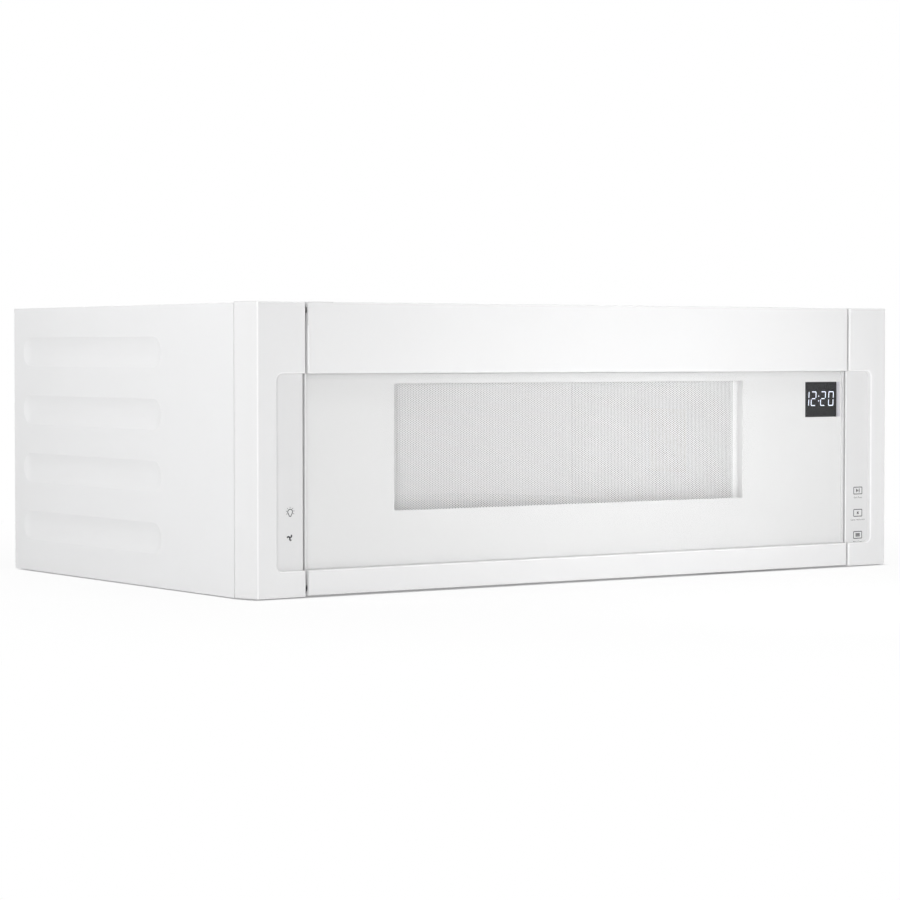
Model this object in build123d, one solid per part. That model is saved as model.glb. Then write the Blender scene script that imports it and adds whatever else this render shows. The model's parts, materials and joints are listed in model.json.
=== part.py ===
"""Low-profile over-the-range microwave hood, as an assembly of separate pieces.

Frame: millimetres, origin at the centre of the bottom face, +X to the viewer's
right, +Y towards the wall, +Z up.  The fascia is the plane y = FRONT.  Depths
written with fy() are counted from that plane towards the wall.
"""
import os
from math import hypot

from build123d import *

# ---------------------------------------------------------------- overall size
WIDTH = 759.0
DEPTH = 458.0
HEIGHT = 260.0

# ---------------------------------------------------------- stock and clearance
SKIN = 0.8              # painted steel of the outer wrap and of the oven cavity
PLATE = 1.0             # base, back and front plates
WALL = 2.5              # moulded plastic walls
RUN_GAP = 0.3           # between pieces that move past each other
SHAFT_GAP = 0.05        # radial running clearance of pins and shafts

# --------------------------------------------------------------------- fascia
SEAM_DEPTH = 27.0       # visible depth of the trims, up to the steel wrap
SEAM_GAP = 0.6          # open joint between the trims and the wrap
CORNER_CUT = 8.0        # how far the angled outer corner comes in at the front
TRIM_WIDTH = 57.3
DOOR_GAP = 2.4
FACE_DEPTH = 36.0       # fascia plane to the front plate
REST_GAP = 2.0          # closed door to the front plate
ROOF_DROP = 1.0         # step from the trims down to the steel roof
DOOR_FOOT = 1.0         # door edge above the bottom face
LOWER_BAND = 23.3       # plain band under the sunk front panel
UPPER_BAND = 63.2       # plain band above it
RECESS_DEPTH = 5.0
RECESS_INSET = 27.5     # end of the sunk panel, from the side of the cabinet
RECESS_CORNER = 6.0
EDGE_ROUND = 1.6        # soft edges of the mouldings
SUNK_ROUND = 0.9        # soft edges along the door gap in the sunk panel

# ----------------------------------------------------------------- side panels
RIB_COUNT = 4
RIB_PITCH = 57.0
RIB_FIRST = 44.7        # height of the lowest rib
RIB_START = 158.7       # depth where the ribs begin
RIB_END = 20.3          # ribs to the rear edge
RIB_HEIGHT = 28.5
RIB_DEPTH = 3.4

# ------------------------------------------------------------------ roof, back
BOLT_SPACING = 560.0    # two bolts down from the wall cabinet
BOLT_DEPTH = 120.0
BOLT_CORE = 2.55        # core radius of a 1/4-20 thread
NUT_RADIUS = 6.5
NUT_LENGTH = 10.0
LOUVRE_COUNT = 24
LOUVRE_PITCH = 12.0
LOUVRE_WIDTH = 4.0
LOUVRE_LENGTH = 30.0
LOUVRE_DEPTH = 46.0
BACK_RECESS = 11.0      # back panel inside the rear edge of the wrap
BRACKET_PLATE = 1.5
BRACKET_WIDTH = 620.0
BRACKET_HEIGHT = 120.0
BRACKET_FOOT = 12.0
LAG_SPACING_X = 406.4   # studs 16 inches apart
LAG_SPACING_Z = 60.0
LAG_RADIUS = 3.5
HOOK_SPACING = 480.0
HOOK_WIDTH = 40.0
HOOK_RISE = 9.0
CORD_INSET_X = 48.7     # cord bushing from the right side panel
CORD_INSET_Y = 26.0     # cord bushing in front of the back panel
CORD_RADIUS = 5.5
CORD_COLLAR = 14.0
CABLE_PASS = 12.0       # slot in the front plate for a touch board's cable
CABLE_LOW = 36.7        # slot above the lower band
CABLE_HIGH = 56.7
TOUCH_LOW = 3.0         # touch board above the lower band
TOUCH_HIGH = 70.0
TOUCH_PLUG = 12.0

# ----------------------------------------------------------------- oven cavity
LEFT_SPACE = 94.7       # left side panel to the cavity
BAY_WIDTH = 137.9       # component bay to the right of the cavity
REAR_SPACE = 90.2       # blower room behind the cavity
ROOF_SPACE = 51.4       # air way over the cavity
CAVITY_FLOOR = 41.0
FLANGE = 9.0

# ------------------------------------------------------------------------ door
GLASS = 3.2
PRINT = 0.2             # white print on the back of the glass
GLASS_GAP = 0.4
GLASS_RIM = 1.2         # white rim beside the glass at both ends
SCREEN_DEPTH = 18.0     # fascia plane to the choke plate
WINDOW_INSET_LEFT = 60.7    # window inside the cavity mouth
WINDOW_INSET_RIGHT = 51.8
WINDOW_RISE = 49.4      # clear window above the lower band
WINDOW_DROP = 9.4       # clear window below the upper band
SCREEN_SHEET = 0.4
SCREEN_LAP = 4.0        # screen sheet behind the choke plate
SCREEN_MARGIN = 4.2     # plain strip right of the perforated area
DISPLAY_EDGE = 2.9      # display opening from the right edge of the door
DISPLAY_WIDTH = 46.5
DISPLAY_DROP = 10.8     # display opening below the upper band
DISPLAY_HEIGHT = 35.2
DISPLAY_SINK = 13.4     # fascia plane to the dark display face
DISPLAY_BODY = 9.0
LEDGE = 9.7             # rim that carries the glass
RAIL = 12.8             # solid left stile of the door, round the hinge axis
CHOKE_LEFT_LAP = 22.0   # choke frame beyond the cavity mouth
CHOKE_RIGHT_LAP = 16.0
CHOKE_FOOT_LAP = 15.0
CHOKE_HEAD_LAP = 16.0
CHOKE_LAP = 6.0         # choke plate over the centre stile
STILE = 8.5             # centre stile between window and display
COVER = 2.5             # plastic cover on the back of the door
PANE = 2.0
PANE_LAP = 8.0
GRIP_OFFSET = 124.8     # finger pocket from the right edge of the door
GRIP_WIDTH = 110.0
GRIP_DEPTH = 20.0
GRIP_HEIGHT = 14.0
GRIP_FRONT = 7.0
STRIKE_OFFSET = 26.5    # strike plate right of the fingers
STRIKE_SIZE = 20.0
STRIKE_RIM = 3.0
MAGNET_RIM = 4.0
MAGNET_BODY = 8.0
FINGER_OFFSET = 23.5    # fingers right of the cavity mouth
FINGER_WIDTH = 6.0
FINGER_HEIGHT = 7.0
FINGER_REACH = 24.0     # past the back of the door
FINGER_RISE = 41.0      # lower finger above the cavity floor
FINGER_DROP = 38.0      # upper finger below the cavity roof
FINGER_BAR = 5.0
FINGER_BAR_REACH = 12.0

# ---------------------------------------------------------------------- hinges
AXIS_INSET = 14.0       # hinge axis from the door's left edge
AXIS_DEPTH = 6.5        # hinge axis behind the fascia plane
PIN_RADIUS = 2.5
PIN_LENGTH = 9.0
EAR = 3.0
EAR_FOOT = 6.0          # lower ear above the bottom face
EAR_TOP = 6.0           # upper ear below the top face
EAR_WIDTH = 13.0
BUSH_WALL = 1.2
BRACKET_LEG = 34.0
BACK_CHAMFER = 8.0

# ------------------------------------------------------------------- turntable
TRAY_MARGIN = 9.0       # tray to the cavity's front and back
TRAY_THICK = 5.0
TRAY_RIM = 12.0
ROLLER_RADIUS = 7.0
ROLLER_WIDTH = 8.0
ROLLER_INSET = 58.0     # rollers' circle inside the tray's edge
AXLE_RADIUS = 2.0
RING_WIDTH = 7.0
RING_THICK = 3.0
SHAFT_RADIUS = 4.0
COUPLER_ARM = 20.0
MOTOR_RADIUS = 25.0
MOTOR_HEIGHT = 17.0

# ------------------------------------------------------------------ cavity lamp
LAMP_WIDTH = 40.0
LAMP_LENGTH = 36.0
LAMP_HEIGHT = 26.0
LAMP_START = 27.0       # lamp behind the front plate
BULB_RADIUS = 7.0
LAMP_SHEET = 1.5

# --------------------------------------------------------------- component bay
GUIDE_DEPTH = 26.0      # waveguide, out from the cavity wall
GUIDE_REAR = 205.0      # waveguide's front edge before the cavity's back wall
GUIDE_LENGTH = 120.0
GUIDE_FOOT = 84.0
GUIDE_HEIGHT = 80.0
PORT_LENGTH = 50.0
PORT_HEIGHT = 56.0
PORT_MARGIN = 12.0
COVER_SHEET = 0.6
COVER_MARGIN = 5.0
ANTENNA_RADIUS = 8.0
ANTENNA_INSET = 24.0    # antenna from the waveguide's rear end
ANTENNA_LENGTH = 15.0
YOKE_LENGTH = 48.0
YOKE_DEPTH = 84.0
YOKE_HEIGHT = 72.0
YOKE_WALL = 2.0
FIN_COUNT = 6
FIN_SHEET = 0.8
ANODE_RADIUS = 19.0
FILTER_BOX = 28.0
CORE_WIDTH = 92.0
CORE_DEPTH = 56.0
CORE_HEIGHT = 74.0
CORE_WINDOW = 14.0
CORE_LEG = 15.0
COIL_OVERHANG = 14.0
BAY_MIDDLE = 75.2       # fan axis from the cavity's outer wall
CAN_LENGTH = 50.0
CAN_WIDTH = 32.0
CAN_HEIGHT = 86.0
CAN_DEPTH = 118.0
CAN_OFFSET = 24.0       # capacitor right of the fan axis
CAN_TAB = 9.0
TAB_WIDTH = 6.0
TAB_SHEET = 0.8
MAINS_WIDTH = 42.0      # mains filter board
MAINS_LENGTH = 64.0
MAINS_OFFSET = 8.0      # board left of the fan axis
MAINS_BACK = 40.0       # board's rear edge behind the capacitor's axis
MAINS_FOOT = 7.0
CHOKE_COIL = 13.0
CHOKE_COIL_TOP = 20.0
FUSE_TOP = 14.0
FAN_RADIUS = 46.0
FAN_INSET = 21.0        # plane of the fan housing before the cavity's back wall
FAN_LENGTH = 16.0
FAN_BLADES = 5
FAN_HUB = 12.0
FAN_Z = 124.0
FAN_SHAFT = 2.5
TIP_GAP = 1.5
FAN_MOTOR = 46.0
FAN_MOTOR_LENGTH = 24.0
FAN_COIL = 16.0
FAN_COIL_HEIGHT = 26.0
BOARD = 1.6
CARRIER_WIDTH = 78.0
CARRIER_HEIGHT = 104.0
CARRIER_DROP = 62.2     # carrier below the roof
CARRIER_MARGIN = 4.0    # carrier to the side panel
CARRIER_POST = 4.0
POST_INSET = 8.0
POST_LENGTH = 8.0
BOARD_INSET = 3.0
MAINS_COIL = (26.0, 28.0, 20.0)     # width, height and depth of the small transformer
RELAY = (15.0, 20.0, 16.0)
RELAY_PITCH = 21.0
SOCKET = (16.0, 16.0, 3.0)
CAP_RADIUS = 7.0
CAP_LENGTH = 18.0
CAP_AT = (48.0, 50.0)   # right of and above the board's corner
HOLDER_LIP = 20.0       # guide box above and below the fingers
HOLDER_WALL = 4.0
HOLDER_LENGTH = 38.0
SWITCH_SIZE = 10.0
SWITCH_LENGTH = 16.0
SWITCH_OFFSET = 6.0     # switches right of the fingers
SWITCH_END = 34.0       # rear of the switches behind the front plate
CUTOUT_RADIUS = 8.0
CUTOUT_LENGTH = 9.0
CUTOUT_BACK = 42.0      # cut-out on the cavity, from its back wall
CUTOUT_DROP = 80.0      # and below its top

# ----------------------------------------------------------------- vent blower
BLOWER_INSET = 42.0     # blower shaft in front of the back panel
BLOWER_DROP = 70.2      # blower shaft below the roof
SCROLL_RADIUS = 41.5
SCROLL_WIDTH = 66.0
SCROLL_WALL = 1.6
WHEEL_RADIUS = 33.0
WHEEL_WIDTH = 56.0
WHEEL_BLADES = 28
INLET_RADIUS = 27.0
BLOWER_SHAFT = 4.0
BLOWER_MOTOR = 30.0
BLOWER_MOTOR_LENGTH = 62.0
MOTOR_SPACE = 10.0      # motor to the scroll on each side
EXHAUST_WIDTH = 254.0
EXHAUST_DEPTH = 80.0
EXHAUST_HEIGHT = 20.0
EXHAUST_WALL = 2.0
EXHAUST_LIP = 8.0
FLAP = 1.2
FLAP_PIN = 1.5
FLAP_INSET = 6.0

# --------------------------------------------------------------- filters, lamps
FILTER_SIDE_GAP = 3.8   # right filter to the component bay
FILTER_LENGTH = 130.0
FILTER_THICK = 8.0
FILTER_BACK = 20.0      # rear edge of the filters before the cavity's back wall
FILTER_TRAVEL = 12.0    # filter slides forward, then drops out
FILTER_LIP = 5.0        # base plate under the edge of a filter
FILTER_SPACE = 74.0     # between the two filters
RAIL_SHEET = 1.5
RAIL_LIP = 6.0
CHARCOAL = 10.0
LENS_WIDTH = 74.0
LENS_DEPTH = 40.0
LENS_THICK = 2.0
LENS_WALL = 2.0
LENS_HEIGHT = 14.0
LENS_LIP = 4.0
LENS_X = 160.0
LENS_START = 76.0

# --------------------------------------------------------------------- derived
FRONT = -DEPTH / 2
SIDE = WIDTH / 2
INNER_SIDE = SIDE - SKIN
ROOF = HEIGHT - ROOF_DROP
CEILING = ROOF - SKIN
DOOR_SIDE = SIDE - TRIM_WIDTH - DOOR_GAP
DOOR_BACK = FACE_DEPTH - REST_GAP
RECESS_BOTTOM = LOWER_BAND
RECESS_TOP = HEIGHT - UPPER_BAND
RECESS_SIDE = SIDE - RECESS_INSET
PLATE_BACK = FACE_DEPTH + PLATE
BACK_PANEL = DEPTH - BACK_RECESS - PLATE
CAVITY_LEFT = -INNER_SIDE + LEFT_SPACE
BAY_LEFT = INNER_SIDE - BAY_WIDTH
CAVITY_RIGHT = BAY_LEFT - SKIN
CAVITY_X = (CAVITY_LEFT + CAVITY_RIGHT) / 2
CAVITY_WIDTH = CAVITY_RIGHT - CAVITY_LEFT
CAVITY_TOP = CEILING - ROOF_SPACE - SKIN
CAVITY_END = BACK_PANEL - REAR_SPACE - SKIN
TRAY_Y = (PLATE_BACK + CAVITY_END) / 2
TRAY_RADIUS = (CAVITY_END - PLATE_BACK) / 2 - TRAY_MARGIN
ROLLER_CIRCLE = TRAY_RADIUS - ROLLER_INSET
CHOKE_LEFT = CAVITY_LEFT - CHOKE_LEFT_LAP
CHOKE_RIGHT = CAVITY_RIGHT + CHOKE_RIGHT_LAP
CHOKE_BOTTOM = CAVITY_FLOOR - CHOKE_FOOT_LAP
CHOKE_TOP = CAVITY_TOP + CHOKE_HEAD_LAP
WINDOW_LEFT = CAVITY_LEFT + WINDOW_INSET_LEFT
WINDOW_RIGHT = CAVITY_RIGHT - WINDOW_INSET_RIGHT
WINDOW_BOTTOM = RECESS_BOTTOM + WINDOW_RISE
WINDOW_TOP = RECESS_TOP - WINDOW_DROP
SCREEN_RIGHT = WINDOW_RIGHT - SCREEN_MARGIN
DISPLAY_RIGHT = DOOR_SIDE - DISPLAY_EDGE
DISPLAY_LEFT = DISPLAY_RIGHT - DISPLAY_WIDTH
DISPLAY_TOP = RECESS_TOP - DISPLAY_DROP
DISPLAY_BOTTOM = DISPLAY_TOP - DISPLAY_HEIGHT
FINGER_X = CAVITY_RIGHT + FINGER_OFFSET
FINGER_LOW = CAVITY_FLOOR + FINGER_RISE
FINGER_HIGH = CAVITY_TOP - FINGER_DROP
STRIKE_X = FINGER_X + STRIKE_OFFSET
STRIKE_Z = CHOKE_TOP
CORD_X = INNER_SIDE - CORD_INSET_X
CORD_DEPTH = BACK_PANEL - CORD_INSET_Y
GRIP_X = DOOR_SIDE - GRIP_OFFSET
AXIS_X = -DOOR_SIDE + AXIS_INSET
RIB_CURVE = (RIB_HEIGHT ** 2 / 4 + RIB_DEPTH ** 2) / (2 * RIB_DEPTH)
GLASS_SIDE = DOOR_SIDE - GLASS_RIM - GLASS_GAP
CABLE_SPAN = (RECESS_BOTTOM + CABLE_LOW, RECESS_BOTTOM + CABLE_HIGH)
GLASS_BACK = RECESS_DEPTH + GLASS
SEAT = GLASS_BACK + PRINT
COVER_FRONT = DOOR_BACK - COVER
STILE_LEFT = CHOKE_RIGHT - CHOKE_LAP
BAY_CENTRE = BAY_LEFT + BAY_MIDDLE
BLOWER_DEPTH = BACK_PANEL - BLOWER_INSET
BLOWER_Z = CEILING - BLOWER_DROP
FILTER_WIDTH = BAY_LEFT - FILTER_SIDE_GAP - CAVITY_X - FILTER_SPACE / 2
FILTER_START = CAVITY_END - FILTER_BACK - FILTER_LENGTH
FAN_DEPTH = CAVITY_END - FAN_INSET
CARRIER_FOOT = CEILING - CARRIER_DROP - CARRIER_HEIGHT
GUIDE_START = CAVITY_END - GUIDE_REAR
GUIDE_RIGHT = BAY_LEFT + GUIDE_DEPTH
MAGNETRON_Y = GUIDE_START + GUIDE_LENGTH - ANTENNA_INSET
MAGNETRON_Z = GUIDE_FOOT + GUIDE_HEIGHT / 2
SCROLL_INNER = BLOWER_MOTOR_LENGTH / 2 + MOTOR_SPACE
SCROLL_OUTER = SCROLL_INNER + SCROLL_WIDTH
EXHAUST_BOTTOM = CEILING - EXHAUST_HEIGHT
WHEEL_SIDE_GAP = (SCROLL_WIDTH - WHEEL_WIDTH) / 2


def fy(depth):
    """Y of a depth behind the fascia plane."""
    return FRONT + depth


def block(x, depth, z):
    """A box from three (low, high) pairs; the middle pair is counted from the fascia."""
    size = (x[1] - x[0], depth[1] - depth[0], z[1] - z[0])
    return Pos(x[0], fy(depth[0]), z[0]) * Box(*size, align=(Align.MIN,) * 3)


def around(centre, width):
    """The (low, high) pair of a width about a centre."""
    return (centre - width / 2, centre + width / 2)


def grow(pair, margin):
    """A (low, high) pair widened at both ends."""
    return (pair[0] - margin, pair[1] + margin)


def rod_x(span, depth, z, radius):
    bar = Cylinder(radius, span[1] - span[0], align=(Align.CENTER, Align.CENTER, Align.MIN))
    return Pos(span[0], fy(depth), z) * Rot(0, 90, 0) * bar


def rod_y(x, span, z, radius):
    bar = Cylinder(radius, span[1] - span[0], align=(Align.CENTER, Align.CENTER, Align.MIN))
    return Pos(x, fy(span[0]), z) * Rot(-90, 0, 0) * bar


def rod_z(x, depth, span, radius):
    bar = Cylinder(radius, span[1] - span[0], align=(Align.CENTER, Align.CENTER, Align.MIN))
    return Pos(x, fy(depth), span[0]) * bar


def mirrored(shape):
    """The same piece on the other side of the cabinet's middle plane."""
    return shape.mirror(Plane.YZ)


def group(shapes):
    """Separate solids kept together in one node."""
    return Compound(children=list(shapes))


def save(name, shape):
    export_step(shape, f"parts/{name}.step")


# ------------------------------------------------------------------ outer shell
def rib_cove(side, z, margin):
    """The belly of a round-ended bar that presses into one side from outside."""
    radius = RIB_CURVE + margin
    axis = side * (SIDE + RIB_CURVE - RIB_DEPTH)
    span = (RIB_START + RIB_HEIGHT / 2, DEPTH - RIB_END - RIB_HEIGHT / 2)
    bar = rod_y(axis, span, z, radius)
    for depth in span:
        bar += Pos(axis, fy(depth), z) * Sphere(radius)
    belly = sorted((side * SIDE, side * (SIDE - RIB_DEPTH - 2 * SKIN)))
    return bar & block(belly, (SEAM_DEPTH, DEPTH), (0, HEIGHT))


def outer_cabinet():
    """Bent steel roof and sides, with pressed ribs and two welded roof nuts."""
    along = (SEAM_DEPTH + SEAM_GAP, DEPTH)
    wrap = block((-SIDE, SIDE), along, (0, ROOF))
    wrap -= block((-INNER_SIDE, INNER_SIDE), along, (-1, CEILING))
    door_bay = DOOR_SIDE + DOOR_GAP
    wrap -= block((-door_bay, door_bay), (SEAM_DEPTH - 1, FACE_DEPTH), (CEILING - 1, ROOF + 1))
    for side in (-1, 1):
        for index in range(RIB_COUNT):
            z = RIB_FIRST + index * RIB_PITCH
            wrap += rib_cove(side, z, SKIN)
            wrap -= rib_cove(side, z, 0)
    wrap -= block(around(0, EXHAUST_WIDTH), around(BLOWER_DEPTH, EXHAUST_DEPTH), (CEILING - 1, ROOF + 1))
    for side in (-1, 1):
        at = (side * BOLT_SPACING / 2, BOLT_DEPTH)
        wrap += rod_z(*at, (CEILING - NUT_LENGTH, CEILING), NUT_RADIUS)
        wrap += rod_z(*at, (CEILING - 2, CEILING), NUT_RADIUS + 3)
        wrap -= rod_z(*at, (CEILING - NUT_LENGTH - 1, ROOF + 1), BOLT_CORE)
    wrap -= rod_z(CORD_X, CORD_DEPTH, (CEILING - 1, ROOF + 1), CORD_COLLAR - 3)
    first = -(LOUVRE_COUNT - 1) * LOUVRE_PITCH / 2
    for index in range(LOUVRE_COUNT):
        x = around(first + index * LOUVRE_PITCH, LOUVRE_WIDTH)
        wrap -= block(x, (LOUVRE_DEPTH, LOUVRE_DEPTH + LOUVRE_LENGTH), (CEILING - 1, ROOF + 1))
    return wrap


def filter_x(side):
    inner = CAVITY_X + side * FILTER_SPACE / 2
    outer = inner + side * FILTER_WIDTH
    return (min(inner, outer), max(inner, outer))


FILTER_SPAN = (FILTER_START, FILTER_START + FILTER_LENGTH)
LENS_SPAN = (LENS_START, LENS_START + LENS_DEPTH)


def base_plate():
    along = (PLATE_BACK, BACK_PANEL)
    tray = block((-INNER_SIDE, INNER_SIDE), along, (0, PLATE))
    for side in (-1, 1):
        edge = (INNER_SIDE - PLATE, INNER_SIDE)
        flange = block(edge, along, (0, RIB_FIRST - RIB_HEIGHT / 2 - 4))
        tray += flange if side > 0 else mirrored(flange)
        hole = grow(filter_x(side), -FILTER_LIP)
        tray -= block(hole, grow(FILTER_SPAN, -FILTER_LIP), (-1, PLATE + 1))
        lens = around(CAVITY_X + side * LENS_X, LENS_WIDTH)
        tray -= block(lens, LENS_SPAN, (-1, PLATE + 1))
    return tray


def hook_slot(side, margin):
    """Opening in the back panel for one hook of the wall bracket."""
    x = grow(around(side * HOOK_SPACING / 2, HOOK_WIDTH), margin)
    z = (BRACKET_FOOT - margin, BRACKET_FOOT + BRACKET_PLATE + margin)
    return block(x, (BACK_PANEL - 1, BACK_PANEL + PLATE + 1), z)


def motor_saddle():
    """Block on the back panel that carries the blower motor."""
    x = around(0, BLOWER_MOTOR_LENGTH * 0.6)
    y = (BLOWER_DEPTH - 12, BACK_PANEL)
    saddle = block(x, y, (BLOWER_Z - BLOWER_MOTOR - 8, BLOWER_Z))
    saddle += block(grow(x, 12), (BACK_PANEL - 2, BACK_PANEL), (BLOWER_Z - BLOWER_MOTOR - 20, BLOWER_Z))
    return saddle - rod_x(grow(x, 20), BLOWER_DEPTH, BLOWER_Z, BLOWER_MOTOR + RUN_GAP)


def rear_panel():
    sheet = block((-INNER_SIDE, INNER_SIDE), (BACK_PANEL, BACK_PANEL + PLATE), (0, CEILING))
    for side in (-1, 1):
        sheet -= hook_slot(side, 0)
    return sheet + motor_saddle()


def wall_bracket():
    wall = (DEPTH - BRACKET_PLATE, DEPTH)
    outer_face = BACK_PANEL + PLATE
    top = BRACKET_FOOT + BRACKET_HEIGHT
    plate = block(around(0, BRACKET_WIDTH), wall, (BRACKET_FOOT, top))
    for side in (-1, 1):
        x = around(side * HOOK_SPACING / 2, HOOK_WIDTH)
        tongue = (BACK_PANEL - BRACKET_PLATE, wall[1])
        plate += block(x, tongue, (BRACKET_FOOT, BRACKET_FOOT + BRACKET_PLATE))
        hook = (BACK_PANEL - BRACKET_PLATE, BACK_PANEL)
        plate += block(x, hook, (BRACKET_FOOT, BRACKET_FOOT + HOOK_RISE))
        plate += block(x, (outer_face, wall[1]), (top - 2 * HOOK_RISE, top - HOOK_RISE))
        for level in (-1, 1):
            z = BRACKET_FOOT + BRACKET_HEIGHT / 2 + level * LAG_SPACING_Z / 2
            plate -= rod_y(side * LAG_SPACING_X / 2, grow(wall, 1), z, LAG_RADIUS)
    return plate


def cord_bushing():
    at = (CORD_X, CORD_DEPTH)
    body = rod_z(*at, (CEILING - 9, ROOF), CORD_COLLAR - 3)
    body += rod_z(*at, (ROOF, ROOF + ROOF_DROP), CORD_COLLAR)
    return body - rod_z(*at, (CEILING - 10, HEIGHT + 1), CORD_RADIUS)


def hinge_z(upper):
    """Height span of one hinge ear."""
    if upper:
        return (HEIGHT - EAR_TOP - EAR, HEIGHT - EAR_TOP)
    return (EAR_FOOT, EAR_FOOT + EAR)


def ear_x():
    left = AXIS_X - PIN_RADIUS - 0.5
    return (left, left + EAR_WIDTH)


def finger_z(upper):
    return around(FINGER_HIGH if upper else FINGER_LOW, FINGER_HEIGHT)


def front_plate():
    sheet = block((-INNER_SIDE, INNER_SIDE), (FACE_DEPTH, PLATE_BACK), (0, CEILING))
    through = (FACE_DEPTH - 1, PLATE_BACK + 1)
    sheet -= block((CAVITY_LEFT, CAVITY_RIGHT), through, (CAVITY_FLOOR, CAVITY_TOP))
    for upper in (False, True):
        sheet -= block(ear_x(), through, hinge_z(upper))
        slot = around(FINGER_X + 1.5, FINGER_WIDTH + 8)
        sheet -= block(slot, through, grow(finger_z(upper), 3))
    sheet -= block(around(STRIKE_X, STRIKE_SIZE), through, around(STRIKE_Z, STRIKE_SIZE))
    for side in (-1, 1):
        slot = around(side * (SIDE - TRIM_WIDTH / 2), CABLE_PASS)
        sheet -= block(slot, through, CABLE_SPAN)
    return sheet


# ----------------------------------------------------------------------- trims
def trim_edge(depth):
    """X of the angled outer face at a depth."""
    return SIDE - CORNER_CUT * (1 - min(depth, SEAM_DEPTH) / SEAM_DEPTH)


def trim_outline(inner, outer_inset, start, end):
    """Plan outline of the right trim between two depths."""
    corner = [(inner, fy(start)), (trim_edge(start) - outer_inset, fy(start))]
    corner.append((SIDE - outer_inset, fy(SEAM_DEPTH)))
    if end > SEAM_DEPTH:
        tail = min(SIDE - outer_inset, INNER_SIDE)
        corner.append((tail, fy(SEAM_DEPTH)))
        corner.append((tail, fy(end)))
    corner.append((inner, fy(end)))
    points = [corner[0]]
    for point in corner[1:]:
        if hypot(point[0] - points[-1][0], point[1] - points[-1][1]) > 0.001:
            points.append(point)
    return make_face(Polyline(*points, close=True))


def front_edges(body):
    """Every edge of a moulding that lies in the fascia plane."""
    chosen = []
    for edge in body.edges():
        box = edge.bounding_box()
        if abs(box.max.Y - FRONT) < 0.01 and abs(box.min.Y - FRONT) < 0.01:
            chosen.append(edge)
    return chosen


def sunk_edges(body, x):
    """Upright edges of a moulding along the door gap, in the sunk panel."""
    chosen = []
    for edge in body.edges():
        box = edge.bounding_box()
        upright = box.max.Z - box.min.Z > (RECESS_TOP - RECESS_BOTTOM) / 2
        if upright and abs(box.min.X - x) < 0.01 and abs(box.max.Y - fy(RECESS_DEPTH)) < 0.01:
            chosen.append(edge)
    return chosen


def right_trim():
    inner = SIDE - TRIM_WIDTH
    body = extrude(trim_outline(inner, 0, 0, FACE_DEPTH), HEIGHT)
    sunk = Plane(origin=(0, fy(-1), 0), x_dir=(1, 0, 0), z_dir=(0, 1, 0))
    width = 2 * RECESS_SIDE
    pan = RectangleRounded(width, RECESS_TOP - RECESS_BOTTOM, RECESS_CORNER)
    middle = (RECESS_TOP + RECESS_BOTTOM) / 2
    body -= extrude(sunk * Pos(0, -middle) * pan, RECESS_DEPTH + 1)
    body = fillet(front_edges(body), EDGE_ROUND)
    body = fillet(sunk_edges(body, inner), SUNK_ROUND)
    body -= block((inner - 1, SIDE + 1), (SEAM_DEPTH, FACE_DEPTH + 1), (CEILING, HEIGHT + 1))
    wall = WALL * hypot(1, CORNER_CUT / SEAM_DEPTH)
    pockets = [
        (WALL, (WALL, RECESS_BOTTOM - WALL)),
        (WALL, (RECESS_TOP + WALL, CEILING - WALL)),
        (RECESS_DEPTH + WALL, (WALL, CEILING - WALL)),
    ]
    for start, z in pockets:
        face = trim_outline(inner + WALL, wall, start, FACE_DEPTH + 1)
        body -= Pos(0, 0, z[0]) * extrude(face, z[1] - z[0])
    return body


def touch_board():
    """Right touch sensor board, glued behind the sunk part of the trim."""
    x = (SIDE - TRIM_WIDTH + WALL + 1, RECESS_SIDE - 2)
    seat = RECESS_DEPTH + WALL
    face = seat + BOARD
    board = block(x, (seat, face), (RECESS_BOTTOM + TOUCH_LOW, RECESS_BOTTOM + TOUCH_HIGH))
    plug = (CABLE_SPAN[0], CABLE_SPAN[0] + TOUCH_PLUG)
    return board + block(around(sum(x) / 2, TOUCH_PLUG), (face, face + TOUCH_PLUG / 2), plug)


# ------------------------------------------------------------------ oven cavity
def lamp_x():
    return around(CAVITY_X + CAVITY_WIDTH / 4, LAMP_WIDTH)


LAMP_SPAN = (PLATE_BACK + LAMP_START, PLATE_BACK + LAMP_START + LAMP_LENGTH)


def oven_cavity():
    x = (CAVITY_LEFT, CAVITY_RIGHT)
    z = (CAVITY_FLOOR, CAVITY_TOP)
    box = block(grow(x, SKIN), (PLATE_BACK, CAVITY_END + SKIN), grow(z, SKIN))
    box += block(grow(x, FLANGE), (PLATE_BACK, PLATE_BACK + SKIN), grow(z, FLANGE))
    box -= block(x, (PLATE_BACK - 1, CAVITY_END), z)
    box -= rod_z(CAVITY_X, TRAY_Y, (CAVITY_FLOOR - 5, CAVITY_FLOOR + 5), SHAFT_RADIUS + 1)
    port = (GUIDE_START + PORT_MARGIN, GUIDE_START + PORT_MARGIN + PORT_LENGTH)
    box -= block((CAVITY_RIGHT - 1, BAY_LEFT + 1), port, around(MAGNETRON_Z, PORT_HEIGHT))
    lamp = lamp_x()
    for column in range(5):
        for row in range(4):
            at = (lamp[0] + 8 + 6 * column, LAMP_SPAN[0] + 9 + 6 * row)
            box -= rod_z(*at, (CAVITY_TOP - 1, CAVITY_TOP + 2), 1.5)
    for column in range(8):
        for row in range(4):
            z_hole = CAVITY_TOP - 20 - 6 * row
            depth = CAVITY_END - 60 + 6 * column
            box -= rod_x((CAVITY_RIGHT - 1, BAY_LEFT + 1), depth, z_hole, 1.5)
    return box


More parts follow.
